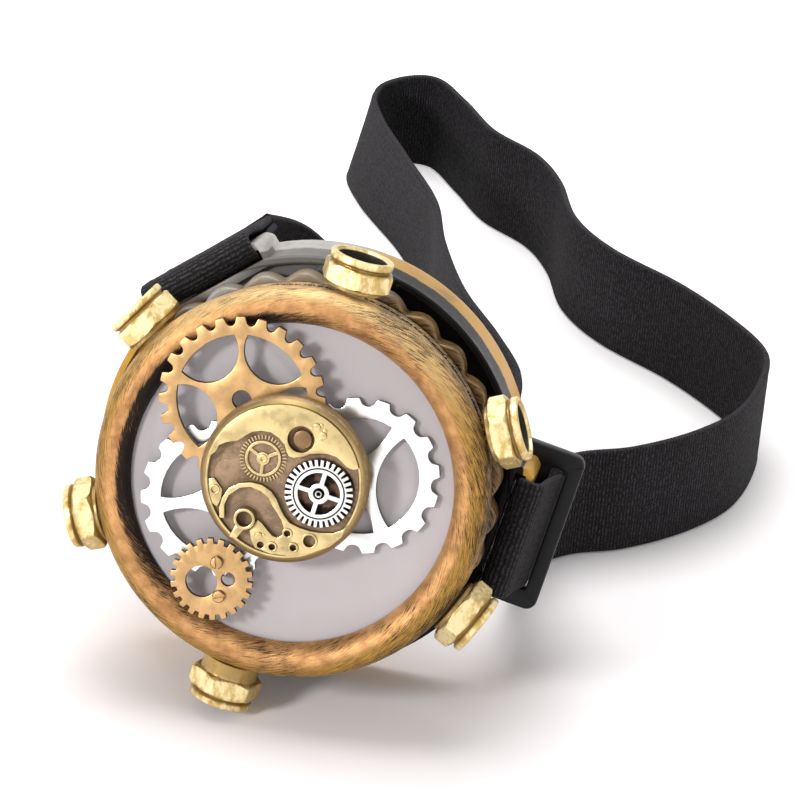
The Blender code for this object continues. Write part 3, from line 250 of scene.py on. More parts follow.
# Small screws of the movement as place, turn and height
SMALL_SCREWS = (((33, 72), 25.0, 0.0020), ((41, 63), 70.0, 0.0020), ((-20, -69), 10.0, 0.0015))

# Route of the strap on the table, all in thousandths: x and y as shares of the loop's depth, then the climb
# to the ear and the lean of the upper edge to x and to y, where they aren't 0
STRAP_ROUTE = (
    (-74, 250, 840), (-25, 279, 560), (34, 299, 270), (89, 322, 70), (121, 365), (118, 419), (89, 483),
    (47, 559), (15, 645), (-7, 727), (-47, 808), (-91, 887, 0, 120), (-111, 948, 0, 220, -30),
    (-91, 986, 0, 120, -60), (-52, 998, 0, 0, -50), (-15, 951), (20, 897), (67, 857), (96, 808), (121, 736),
    (163, 682), (232, 631), (286, 576), (318, 527), (321, 473), (308, 411), (276, 360), (232, 318),
    (190, 294), (164, 262, 20), (155, 215, 270))

# A quarter of the band's section: shares of half its width and of half its thickness
BAND_EDGE = ((-1.0, 0.0), (-0.992, 0.62), (-0.97, 0.95), (-0.93, 1.0), (-0.88, 0.90), (-0.60, 0.93),
             (-0.30, 0.90), (0.0, 0.93))

WHITE = (1.0, 1.0, 1.0)

# Camera fitted to the photograph: focal length, azimuth, elevation and roll, and place from the lens
CAMERA_LENS = 203.95
CAMERA_ANGLES = (7.69, 28.0, 5.30)
CAMERA_PLACE = Vector((0.0970, -0.6034, 0.34096))


# Modelling steps

def rest():
    """Leave edit mode and deselect everything."""
    if bpy.context.mode != "OBJECT":
        bpy.ops.object.mode_set(mode="OBJECT")
    bpy.ops.object.select_all(action="DESELECT")


def pick(*pieces):
    """Select these pieces only, the first one active."""
    rest()
    for piece in pieces:
        piece.select_set(True)
    bpy.context.view_layer.objects.active = pieces[0]


def polar(radius, degrees, centre=(0.0, 0.0)):
    """A point at an angle round a centre."""
    angle = math.radians(degrees)
    return (centre[0] + radius * math.cos(angle), centre[1] + radius * math.sin(angle))


def arc(radius, start, end, steps, centre=(0.0, 0.0)):
    """Points along an arc, both ends included."""
    return [polar(radius, start + (end - start) * step / steps, centre) for step in range(steps + 1)]


def ring(radius, count, centre=(0.0, 0.0)):
    """Points round a circle."""
    return [polar(radius, 360.0 * step / count, centre) for step in range(count)]


def flat(points, level=0.0):
    """Plane points as vectors at a level."""
    return [Vector((x, y, level)) for x, y in points]


def merge_all():
    """Merge the doubled points of an edited piece and leave it all selected."""
    bpy.ops.mesh.select_all(action="SELECT")
    bpy.ops.mesh.remove_doubles(threshold=MERGE)
    bpy.ops.mesh.select_all(action="SELECT")


def draw_line(points, closed=True):
    """Shrink a small square to one point and extrude it along a line of points, in edit mode."""
    bpy.ops.mesh.select_all(action="DESELECT")
    bpy.ops.mesh.primitive_plane_add(size=SPECK, location=(0, 0, 0))
    bpy.ops.mesh.merge(type="CENTER")
    bpy.ops.transform.translate(value=points[0])
    stops = points[1:] + points[:1] if closed else points[1:]
    for near, far in zip(points, stops):
        bpy.ops.mesh.extrude_region_move(TRANSFORM_OT_translate={"value": far - near})


def start_piece(name, primitive, **settings):
    """A new piece that begins as a primitive, left in edit mode."""
    rest()
    primitive(location=(0, 0, 0), **settings)
    piece = bpy.context.object
    piece.name = name
    piece.data.name = name
    bpy.ops.object.mode_set(mode="EDIT")
    return piece


def start_line(name, points, closed=True):
    """A new piece that begins as a drawn line, left in edit mode."""
    piece = start_piece(name, bpy.ops.mesh.primitive_plane_add, size=SPECK)
    bpy.ops.mesh.select_all(action="SELECT")
    bpy.ops.mesh.delete(type="VERT")
    draw_line(points, closed)
    return piece


def start_circle(name, count, radius):
    """A new piece that begins as a circle of points, left in edit mode."""
    return start_piece(name, bpy.ops.mesh.primitive_circle_add, vertices=count, radius=radius)


def select_where(piece, test):
    """Select the points of an edited piece that pass a test."""
    shape = bmesh.from_edit_mesh(piece.data)
    for vertex in shape.verts:
        vertex.select = test(vertex.co)
    shape.select_flush_mode()
    bmesh.update_edit_mesh(piece.data)


def close_shape():
    """Merge doubled points, turn all faces outwards and leave edit mode."""
    merge_all()
    bpy.ops.mesh.normals_make_consistent(inside=False)
    rest()


def spin_line(name, profile, segments, closed=True):
    """Turn a profile of (radius, level) points round the face axis."""
    piece = start_line(name, [Vector((radius, 0.0, level)) for radius, level in profile], closed)
    merge_all()
    bpy.ops.mesh.spin(steps=segments, angle=math.tau, center=(0, 0, 0), axis=(0, 0, 1))
    close_shape()
    return piece


def raise_sheet(thickness):
    """Fill the drawn lines and extrude the sheet upwards."""
    merge_all()
    bpy.ops.mesh.fill(use_beauty=True)
    bpy.ops.mesh.select_all(action="SELECT")
    bpy.ops.mesh.extrude_region_move(TRANSFORM_OT_translate={"value": (0, 0, thickness)})
    close_shape()


def plate(name, outline, holes, low, high):
    """A flat plate with holes between two levels."""
    piece = start_line(name, flat(outline, low))
    for hole in holes:
        draw_line(flat(hole, low))
    raise_sheet(high - low)
    return piece


def modify(piece, kind, **settings):
    """Add a modifier with its settings and apply it."""
    modifier = piece.modifiers.new(kind.title(), kind)
    for key, value in settings.items():
        setattr(modifier, key, value)
    pick(piece)
    bpy.ops.object.modifier_apply(modifier=modifier.name)
    return piece


def soften(piece, width, segments=2, angle=32.0):
    """Bevel the sharp edges of a piece."""
    return modify(piece, "BEVEL", width=width, segments=segments, limit_method="ANGLE",
                  angle_limit=math.radians(angle))


def shape_with(piece, tool, operation):
    """Join, cut or trim a piece with another body, which is used up."""
    modify(piece, "BOOLEAN", operation=operation, solver="EXACT", object=tool)
    rest()
    bpy.data.objects.remove(tool, do_unlink=True)


def fix_place(piece):
    """Move an object's place and turn into its mesh."""
    pick(piece)
    bpy.ops.object.transform_apply(location=True, rotation=True, scale=True)


def settle(piece, matrix, body, node, finish, smooth=34.0):
    """Put a finished piece in its place, give it its finish and CAD body, and hide the CAD node that it
    stands for.
    """
    piece.matrix_world = matrix
    fix_place(piece)
    bpy.ops.object.shade_smooth_by_angle(angle=math.radians(smooth))
    rest()
    piece.data.materials.clear()
    piece.data.materials.append(finish)
    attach(piece, body)
    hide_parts(node)


def on_face(place, level=0.0, degrees=0.0):
    """A place and turn on the face."""
    return FACE @ Matrix.Translation((*place, level)) @ Matrix.Rotation(math.radians(degrees), 4, "Z")


# Finishes

class Value:
    """A node's output, on which arithmetic adds Math nodes."""

    def __init__(self, socket):
        self.socket = socket
        self.tree = socket.id_data

    def calculate(self, operation, *others):
        """The result of a Math node."""
        return add(self.tree, "Math", self, *others, operation=operation)

    def __add__(self, other):
        return self.calculate("ADD", other)

    def __sub__(self, other):
        return self.calculate("SUBTRACT", other)

    def __rsub__(self, other):
        return add(self.tree, "Math", other, self, operation="SUBTRACT")

    def __mul__(self, other):
        return self.calculate("MULTIPLY", other)

    def __truediv__(self, other):
        return self.calculate("DIVIDE", other)

    def __abs__(self):
        return self.calculate("ABSOLUTE")

    def __or__(self, other):
        """The larger of two masks."""
        return self.calculate("MAXIMUM", other)

    def step(self, low, high):
        """Ease from 0 at low to 1 at high."""
        return add(self.tree, "MapRange", self, low, high, interpolation_type="SMOOTHSTEP")

    def blend(self, first, second):
        """Mix two colours, with this value as the mask."""
        return add(self.tree, "Mix", self, first, second, data_type="RGBA")


def feed(socket, value):
    """Give an input a link, a colour or a number."""
    if isinstance(value, Value):
        value.tree.links.new(value.socket, socket)
    elif socket.type == "RGBA":
        socket.default_value = (*value, 1.0)
    else:
        socket.default_value = value


def outputs(tree, kind, *values, **settings):
    """Add a node and give its outputs; settings are properties or named inputs, values feed it in order."""
    made = tree.nodes.new("ShaderNode" + kind)
    for key, value in settings.items():
        if hasattr(made, key):
            setattr(made, key, value)
        else:
            feed(made.inputs[key], value)
    for socket, value in zip([socket for socket in made.inputs if socket.enabled], values):
        feed(socket, value)
    return {socket.name: Value(socket) for socket in made.outputs if socket.enabled}


def add(tree, kind, *values, **settings):
    """Add a node and give its first output."""
    return next(iter(outputs(tree, kind, *values, **settings).values()))


def split(tree, vector):
    """The three parts of a vector."""
    return outputs(tree, "SeparateXYZ", vector).values()


def shade(colour, part):
    """A colour times a number."""
    return tuple(min(1.0, channel * part) for channel in colour)


def open_group(name, **inputs):
    """A new node group and the values of its inputs; those without a number are vectors."""
    group = bpy.data.node_groups.new(name, "ShaderNodeTree")
    for label, default in inputs.items():
        kind = "NodeSocketVector" if default is None else "NodeSocketFloat"
        socket = group.interface.new_socket(label.replace("_", " "), in_out="INPUT", socket_type=kind)
        if default is not None:
            socket.default_value = default
    given = group.nodes.new("NodeGroupInput").outputs
    return group, [Value(given[index]) for index in range(len(inputs))]


def close_group(group, **results):
    """Name a group's outputs and feed them."""
    for label in results:
        group.interface.new_socket(label, in_out="OUTPUT", socket_type="NodeSocketFloat")
    end = group.nodes.new("NodeGroupOutput")
    for label, value in results.items():
        feed(end.inputs[label], value)
    return group


def dry_brush(name):
    """Slanting brush strokes round a ring, broad patches of them, and the ring's radius and level."""
    group, (place, roll_radius, roll_weight, fineness, run, slant) = open_group(
        name, Face_Position=None, Roll_Radius=0.0, Roll_Weight=0.0, Fineness=105.0, Run=620.0, Slant=42.0)
    x, y, level = split(group, place)
    ray = add(group, "CombineXYZ", x, y)
    radius = add(group, "VectorMath", ray, operation="LENGTH")
    across = radius - level + level.calculate("ARCTAN2", radius - roll_radius) * roll_weight
    unit = add(group, "VectorMath", ray, operation="NORMALIZE")
    turned = add(group, "VectorRotate", unit, Angle=across * slant, rotation_type="Z_AXIS")
    x, y, _ = split(group, add(group, "VectorMath", turned, fineness, operation="SCALE"))
    stroke = add(group, "CombineXYZ", x, y, across * run)
    return close_group(group, Strokes=add(group, "TexNoise", stroke, Scale=1.0, Detail=5.0, Roughness=0.7),
                       Patches=add(group, "TexNoise", place, Scale=120.0, Detail=3.0, Roughness=0.55),
                       Radius=radius, Level=level)


def metal_grain(name):
    """Fine casting grain with small dark specks."""
    group, (place, fineness) = open_group(name, Position=None, Fineness=2200.0)
    fine = add(group, "TexNoise", place, fineness, Detail=4.0, Roughness=0.6)
    coarse = add(group, "TexNoise", place, Scale=420.0, Detail=3.0, Roughness=0.55)
    return close_group(group, Grain=coarse, Specks=fine.step(0.60, 0.74) * coarse.step(0.42, 0.66),
                       Height=fine * 0.35 + coarse * 0.65)


def elastic_webbing(name):
    """Uneven ribs across an elastic band, broken into short threads, from its own length and width map."""
    group, (chart, pitch) = open_group(name, Band_Map=None, Rib_Pitch=0.00058)
    along, across, _ = split(group, chart)
    wander = add(group, "TexNoise", chart, noise_dimensions="2D", Scale=900.0, Detail=2.0, Roughness=0.5)
    rib = along / pitch + wander * 0.75
    cell = add(group, "CombineXYZ", rib.calculate("FLOOR") * 7.3, across * 1500.0)
    broken = add(group, "TexNoise", cell, noise_dimensions="2D", Scale=1.0, Detail=2.0, Roughness=0.6)
    thread = broken.step(0.36, 0.62)
    ridge = abs((rib * math.pi).calculate("SINE"))
    # The second output marks the rib tops on the threads, for a painted highlight
    return close_group(group, Height=ridge * (thread * 0.65 + 0.35),
                       Thread=ridge.calculate("POWER", 2.0) * thread)


EFFECTS = {"Dry Brush": dry_brush, "Metal Grain": metal_grain, "Elastic Webbing": elastic_webbing}


def effect(tree, name, *values):
    """Place a shared node group, made when it is first asked for."""
    return outputs(tree, "Group", *values, node_tree=bpy.data.node_groups.get(name) or EFFECTS[name](name))


def new_finish(name):
    """A material and its nodes."""
    finish = bpy.data.materials.new(name)
    finish.use_nodes = True
    return finish, finish.node_tree


def coat(finish, relief=None, **values):
    """Feed a finish's own shader, and its normal from a relief of (height, distance, strength)."""
    shader = finish.node_tree.nodes["Principled BSDF"]
    for key, value in values.items():
        feed(shader.inputs[key.replace("_", " ")], value)
    if relief:
        height, distance, strength = relief
        feed(shader.inputs["Normal"], add(finish.node_tree, "Bump", strength, distance, Height=height))
    return finish


def object_position(tree):
    """Object coordinates as they are."""
    return outputs(tree, "TexCoord")["Object"]


def face_position(tree):
    """Object coordinates turned into the face frame."""
    return add(tree, "Mapping", object_position(tree), FACE_CENTRE, FACE.to_euler(), vector_type="TEXTURE")


def towards(tree, direction):
    """How far a face looks in a direction of its own object, from -1 to 1."""
    own = add(tree, "VectorTransform", outputs(tree, "NewGeometry")["Normal"], vector_type="NORMAL",
              convert_from="WORLD", convert_to="OBJECT")
    return add(tree, "VectorMath", own, direction, operation="DOT_PRODUCT")


def brushed_parts(tree, roll_radius=0.0, roll_weight=0.0):
    """Brush strokes and grain of a bronze piece, and how far a place is to the right, as a share, and up."""
    place = face_position(tree)
    brush = effect(tree, "Dry Brush", place, roll_radius, roll_weight)
    x, y, _ = split(tree, place)
    return brush, effect(tree, "Metal Grain", place), x / brush["Radius"], y


def bronze_finish(colours, case):
    """Copper bronze, mustard outer half, black brush strokes; painted shade on the inner edge, right-hand
    sides and neck, a painted highlight on top.
    """
    finish, tree = new_finish("Bronze dry-brushed")
    middle, skirt, depth = case.bezel_radius - case.tube_radius, case.skirt_radius, case.skirt_depth
    brush, grain, span, height = brushed_parts(tree, middle, -0.0065)
    strokes, radius, level, grit = brush["Strokes"], brush["Radius"], brush["Level"], grain["Grain"]
    left = 1 - span.step(-0.85, -0.35)
    low = 1 - height.step(-0.024, -0.010)
    # The mustard half widens to the right, partly as painted shade
    outer = radius + strokes * 0.0018 + span.step(0.05, 0.75) * 0.0012
    outer = outer.step(middle + 0.0014, middle + 0.0027)
    seam = outer * (1 - outer) * strokes.step(0.44, 0.62)
    # Painted shade: a dark inner edge, weaker at the bottom and the right
    bore = 1 - radius.step(middle - 0.0013, middle - 0.0004)
    side = radius.step(skirt - 0.0012, skirt + 0.0003)
    # Painted shade: the neck behind the side band is painted black
    behind = 1 - level.step(0.0001 - depth, 0.0006 - depth)
    upper_line, lower_line = (1 - abs(level + line).step(0.00014, 0.00034) for line in (0.0048, 0.0062))
    # Black brush strokes, with painted shade on faces turned to the right
    black = (strokes * 1.2 + brush["Patches"] * 0.45 + bore * 0.26 + side * 0.05
             + bore * (span.step(-0.35, 0.25) | low) * -0.18 + outer * left * 0.09
             + towards(tree, (1.0, 0.0, 0.0)) * 0.13 + behind * 0.6)
    dark = (black + ((upper_line | lower_line) * side * 0.24 + outer * 0.03)).step(0.89, 1.05)
    copper = (grit * 0.6 + strokes * 0.4).step(0.34, 0.66).blend(colours.bronze, colours.bronze_light)
    gold = strokes.step(0.36, 0.60).blend(colours.rim_gold, shade(colours.rim_gold, 0.58))
    # Painted highlight: the top of the outer half is paler
    crown_highlight = outer * height.step(0.010, 0.027)
    highlighted = (crown_highlight * 0.6).blend(outer.blend(copper, gold), (0.82, 0.57, 0.29))
    soiled = (seam * 3.0 | strokes.step(0.48, 0.62) * 0.35).blend(highlighted, colours.bronze_deep)
    return coat(finish, (grain["Height"] * 0.7 + strokes * 0.8, 0.00009, 0.7), Specular_IOR_Level=0.12,
                Base_Color=dark.blend(soiled, colours.bronze_dark), Metallic=(1 - dark) * 0.5,
                Roughness=dark * 0.06 + grit * 0.30 + strokes * 0.26 + 0.10)


def cup_finish(colours, case):
    """Gold rim with a ragged border, glossy black between rim and screw ring; at the top a painted reflection
    makes them silver grey and dark grey.
    """
    finish, tree = new_finish("Cup bronze")
    brush, grain, span, height = brushed_parts(tree)
    strokes, grit, grey = brush["Strokes"], grain["Grain"], colours.grey_sheen
    uneven = strokes * 0.5 + brush["Patches"] * 0.5
    border = -case.rim_front - 0.0028
    ear = brush["Radius"].step(case.rim_radius + 0.0002, case.rim_radius + 0.0005)
    rear = 1 - (brush["Level"] + uneven * 0.0040).step(border - 0.0005, border)
    rear = rear | 1 - span.step(-0.55, -0.35) | ear
    # Painted reflection: at the top the rim is painted silver grey and the black band dark grey
    top = (height.step(0.008, 0.020) * (span + uneven * 1.4).step(-0.10, 0.18)
           * (1 - (span + uneven * 1.6).step(0.82, 1.06)))
    gold = (grit * 0.5 + strokes * 0.5).step(0.36, 0.66).blend(colours.rim_gold, (0.57, 0.32, 0.055))
    scuffed = (uneven.step(0.52, 0.64) * 0.8).blend(gold, colours.bronze_deep)
    silver = grit.step(0.30, 0.75).blend(grey, shade(grey, 0.80))
    colour = top.blend(rear.blend(colours.black_gloss, scuffed), rear.blend(shade(grey, 0.35), silver))
    return coat(finish, (grain["Height"], 0.00006, 0.5), Base_Color=colour, Specular_IOR_Level=0.06,
                Metallic=rear * (1 - top * 0.6) * 0.6, Roughness=(rear | top) * 0.08 + grit * 0.30 + 0.14)


def grip_finish(colours, case):
    """Satin grey brown scallops at the top left as a painted highlight, dark bronze elsewhere, black in the
    dips between them.
    """
    finish, tree = new_finish("Grip grey bronze")
    brush, grain, span, height = brushed_parts(tree)
    low = case.grip_radius - case.grip_dip
    uneven = grain["Grain"] * 0.5 + brush["Patches"] * 0.5
    raised = (brush["Radius"] + uneven * 0.0010).step(low + 0.0003, low + 0.0010)
    # Painted highlight: the scallops are painted grey brown at the top left
    highlighted = height.step(0.008, 0.020) * (1 - (span + uneven * 0.4).step(0.40, 0.62))
    grey = uneven.step(0.40, 0.62).blend(shade(colours.grey_sheen, 0.62), (0.26, 0.19, 0.12))
    brown = brush["Strokes"].step(0.44, 0.60).blend((0.27, 0.155, 0.055), colours.bronze_dark)
    return coat(finish, (grain["Height"], 0.00006, 0.5), Metallic=0.2, Specular_IOR_Level=0.25,
                Base_Color=raised.blend(colours.bronze_dark, highlighted.blend(brown, grey)),
                Roughness=highlighted * 0.16 + grain["Grain"] * 0.30 + 0.16)


def nut_finish(colours, case):
    """Pale gold paint with cream brush strokes and a painted highlight; painted shade in brown in the groove
    and at the foot, dark in the hole.
    """
    finish, tree = new_finish("Nut pale gold")
    place = object_position(tree)
    grain = effect(tree, "Metal Grain", place)
    strokes = add(tree, "TexNoise", add(tree, "Mapping", place, Scale=(620.0, 620.0, 300.0)),
                  Scale=1.0, Detail=5.0, Roughness=0.68, Distortion=0.35)
    radius, height, _ = split(tree, add(tree, "UVMap", uv_map="Nut"))
    # Cream strokes, more of them on faces turned to the upper left as a painted highlight
    light = (strokes + towards(tree, (-0.55, -0.60, 0.58)) * 0.11).step(0.44, 0.64)
    ragged = (strokes - 0.5) * 0.0016
    # Painted shade: brown in the groove and at the foot
    groove_shade = 1 - (abs(height - case.nut_groove / 2) + ragged).step(0.0001, 0.0009)
    foot = 1 - (height + ragged).step(-0.0036, -0.0026)
    gold = light.blend(colours.nut_gold, colours.nut_cream_highlight)
    painted = ((groove_shade | foot) * 0.85).blend(gold, colours.nut_groove_shade)
    # Painted shade: dark in the hole
    inside = 1 - radius.step(case.nut_bore, case.nut_bore + 0.00012)
    return coat(finish, (grain["Height"] + strokes, 0.00010, 0.6), Roughness=0.34,
                Base_Color=inside.blend(painted, (0.045, 0.045, 0.035)), Metallic=(1 - inside) * 0.55)


def gear_finish(name, colour, dark, roughness, worn, groove=None):
    """Cast metal: light faces and small specks; painted shade on the side walls and on faces under the groove
    level.
    """
    finish, tree = new_finish(name)
    place = face_position(tree)
    grain = effect(tree, "Metal Grain", place)
    # Painted shade: side walls, and faces under the groove level, take the dark colour
    top = towards(tree, FACE_NORMAL).step(0.45, 0.96)
    if groove is not None:
        _, _, level = split(tree, place)
        top = top * level.step(groove, groove + 0.0001)
    speckled = (grain["Specks"] * 0.75).blend(colour, dark)
    face = grain["Grain"].step(0.38, 0.64).blend(speckled, shade(colour, worn))
    return coat(finish, (grain["Height"], 0.00003, 0.5), Base_Color=top.blend(dark, face), Metallic=0.9,
                Roughness=roughness)


def within(tree, place, centre, radius):
    """1 within a radius of a centre on the face, 0 outside."""
    x, y, _ = split(tree, place)
    distance = add(tree, "VectorMath", add(tree, "CombineXYZ", x, y), (*centre, 0.0), operation="DISTANCE")
    return 1 - distance.step(radius, radius + 0.0003)


def movement_finish(colours, works):
    """Pale gold bridges over a dark matt floor, painted shade on their side walls, and a dark well of painted
    shade under the silver wheel.
    """
    finish, tree = new_finish("Movement pale gold")
    place = face_position(tree)
    grain = effect(tree, "Metal Grain", place)
    _, _, level = split(tree, place)
    floor = works.movement_back + works.movement_side + works.movement_bevel - works.movement_drop
    raised = level.step(floor + 0.00012, floor + 0.00032)
    side = 1 - level.step(floor - 0.0004, floor - 0.0002)
    # Painted shade on the side walls of the bridges and plates
    top = towards(tree, FACE_NORMAL).step(0.66, 0.97)
    patina = grain["Grain"].step(0.42, 0.66).blend(colours.movement, shade(colours.movement, 0.72))
    plates = (grain["Specks"] * 0.6).blend(top.blend((0.20, 0.13, 0.04), patina), (0.20, 0.12, 0.05))
    sand = grain["Height"].step(0.42, 0.60).blend(shade(colours.movement_floor, 0.66), colours.movement_floor)
    body = side.blend(raised.blend(sand, plates), (0.26, 0.175, 0.055))
    # Painted shade: a dark well under the silver wheel
    well = within(tree, place, share(WHEEL, works), works.wheel_radius) * (1 - raised)
    bottom = grain["Grain"].step(0.42, 0.60).blend((0.018, 0.012, 0.010), (0.16, 0.095, 0.065))
    plug = within(tree, place, share(BRIDGE_HOLE, works), 0.0014)
    return coat(finish, (grain["Height"], 0.00004, 0.6), Metallic=0.9, Roughness=0.62 - raised * 0.30,
                Base_Color=plug.blend(well.blend(body, bottom), colours.movement_plug))


def lens_finish(colours):
    """Clear acrylic with a faint haze, dusty in places; its grey-lilac tint is painted shade, the shaded
    table seen through it.
    """
    finish, tree = new_finish("Lens acrylic")
    dust = add(tree, "TexNoise", face_position(tree), Scale=70.0, Detail=3.0, Roughness=0.5)
    # A faint haze that catches shadows, and painted shade: the tint and opacity stand in for the shaded table
    # seen through
    return coat(finish, Base_Color=dust.blend(shade(colours.lens, 0.94), colours.lens),
                Alpha=dust * 0.08 + 0.76, Metallic=0.0, Roughness=0.08, IOR=1.49)


def webbing_finish(colours, strap):
    """Black elastic with ribs across the band, and a painted highlight on the rib tops and along both edges.
    """
    finish, tree = new_finish("Elastic webbing")
    band = add(tree, "UVMap", uv_map="Band")
    weave = effect(tree, "Elastic Webbing", band, strap.rib_pitch)
    _, across, _ = split(tree, band)
    # Painted highlight on the rib tops
    threads = weave["Thread"].blend(colours.webbing, shade(colours.webbing, 6.5))
    # Painted highlight along both edges of the band
    edge = abs(across).step(strap.width * 0.482, strap.width * 0.497)
    return coat(finish, (weave["Height"], 0.00045, 1.0), Metallic=0.0, Roughness=0.85,
                Specular_IOR_Level=0.25, Base_Color=(edge * 0.7).blend(threads, shade(colours.webbing, 6.0)))


def plastic_finish(colours):
    """Satin black moulding with a fine texture."""
    finish, tree = new_finish("Buckle plastic")
    grain = effect(tree, "Metal Grain", object_position(tree))
    return coat(finish, (grain["Height"], 0.00005, 0.5), Metallic=0.0, Specular_IOR_Level=0.22,
                Base_Color=grain["Grain"].blend(colours.plastic, shade(colours.plastic, 1.8)),
                Roughness=grain["Grain"] * 0.2 + 0.32)


def rubber_finish():
    """Black rubber."""
    finish, tree = new_finish("Gasket rubber")
    grain = effect(tree, "Metal Grain", object_position(tree))
    return coat(finish, (grain["Height"], 0.00004, 0.5), Metallic=0.0, Roughness=0.65,
                Base_Color=grain["Grain"].blend((0.012, 0.012, 0.012), (0.03, 0.03, 0.03)))


# Shapes

def settings(context):
    """The sizes of the case, the clockwork and the strap, and the colours."""
    scene = context.scene
    return scene.monocle_case, scene.monocle_clockwork, scene.monocle_strap, scene.monocle_colours


def share(place, works):
    """A place on the movement given in hundredths of its radius."""
    return tuple(middle + part / 100 * works.movement_radius for middle, part in zip(MOVEMENT_PLACE, place))


def spin_solid(name, profile, segments):
    """Turn a profile that the face axis closes."""
    return spin_line(name, [(0.0, profile[0][1]), *profile, (0.0, profile[-1][1])], segments, False)


def almond(middle, outer, inner, half_angle):
    """Window between two spokes, with a round belly towards the hub."""
    corner_x, corner_y = polar(outer, half_angle)
    sagitta = corner_x - inner
    belly = (corner_y ** 2 + sagitta ** 2) / (2 * sagitta)
    centre = inner + belly
    spread = math.degrees(math.atan2(corner_y, centre - corner_x))
    points = arc(outer, -half_angle, half_angle, 12)
    points += arc(belly, 180 - spread, 180 + spread, 18, (centre, 0))[1:-1]
    cos, sin = polar(1.0, middle)
    return [(x * cos - y * sin, x * sin + y * cos) for x, y in points]


def sector(middle, span, outer, inner, spoke, centre=(0.0, 0.0)):
    """Window between straight spokes of even width."""
    start, end = middle - span / 2, middle + span / 2
    outer_cut = math.degrees(math.asin(spoke / (2 * outer)))
    inner_cut = math.degrees(math.asin(spoke / (2 * inner)))
    return (arc(outer, start + outer_cut, end - outer_cut, 10, centre)
            + arc(inner, end - inner_cut, start + inner_cut, 6, centre))


def toothed_circle(name, teeth, tip, depth, profile):
    """A circle of points with its gaps drawn in; profile gives the depth share at each step of a tooth."""
    steps = len(profile)
    pitch = math.tau / teeth
    piece = start_circle(name, teeth * steps, tip)

    def share_at(co):
        return profile[round(math.atan2(co.y, co.x) % pitch / pitch * steps) % steps]

    for sunk in sorted({value for value in profile if value > 0.0}):
        select_where(piece, lambda co: share_at(co) == sunk)
        scale = 1.0 - depth * sunk / tip
        bpy.ops.transform.resize(value=(scale, scale, 1.0), center_override=(0, 0, 0))
    return piece


def raise_gear(piece, windows, thickness, edge, segments=2, angle=40.0):
    """Cut the windows, raise the sheet and soften the edges."""
    for window in windows:
        draw_line(flat(window))
    raise_sheet(thickness)
    return soften(piece, edge, segments, angle)


def ear_directions(degrees):
    """Outward and along-the-bar directions of an ear in the face frame."""
    cos, sin = polar(1.0, degrees)
    return Vector((sin, cos, 0)), Vector((cos, -sin, 0))


def ear_box(name, degrees, near, far, half, cut, front, back):
    """A block across an ear, its outer corners cut off, raised and turned to the ear's direction."""
    outline = [(near, -half), (far - cut, -half), (far, cut - half), (far, half - cut), (far - cut, half),
               (near, half)]
    piece = plate(name, outline, [], back, front)
    piece.rotation_euler.z = math.radians(90.0 - degrees)
    fix_place(piece)
    return piece


class MONOCLE_OT_bezel(bpy.types.Operator):
    """Rounded bronze ring, its side band and the screw ring behind it"""

    bl_idname = "monocle.bezel"
    bl_label = "Bezel and grip ring"

    def execute(self, context):
        case, _, _, colours = settings(context)
        bore, ledge = case.lens_radius + GAP, case.lens_front + GAP
        inner = 180.0 - math.degrees(math.asin(ledge / case.tube_radius))
        roll = arc(case.tube_radius, inner, -45.0, 30, (case.bezel_radius - case.tube_radius, 0.0))
        x, y = roll[-1]
        skirt, neck, depth = case.skirt_radius, case.neck_radius, -case.skirt_depth
        bands = [(skirt + out, level) for out, level in SKIRT_BANDS]
        bezel = spin_line("bezel", [
            (bore, -case.neck_depth), (bore, ledge), *roll, (x - 0.00045, y - 0.00025),
            (x - 0.00050, y - 0.00055), (skirt - 0.00025, y - 0.00085), (skirt, y - 0.00115), *bands,
            (skirt, depth + 0.0004), (skirt - 0.0003, depth + 0.00005), (neck + 0.0002, depth),
            (neck, depth - 0.0002), (neck, -case.neck_depth)], 180)
        settle(bezel, FACE, "lens_cap", "bezel_ring", bronze_finish(colours, case))
        scallop = [1.0 - math.sin(math.pi * step / 10) for step in range(10)]
        grip = toothed_circle("grip", case.grip_scallops, case.grip_radius, case.grip_dip, scallop)
        raise_gear(grip, [ring(case.grip_bore, 120)], case.grip_back - case.grip_front, 0.0005, 3, 50.0)
        settle(grip, on_face((0, 0), -case.grip_back), "lens_cap", "grip_ring",
               grip_finish(colours, case))
        return {"FINISHED"}


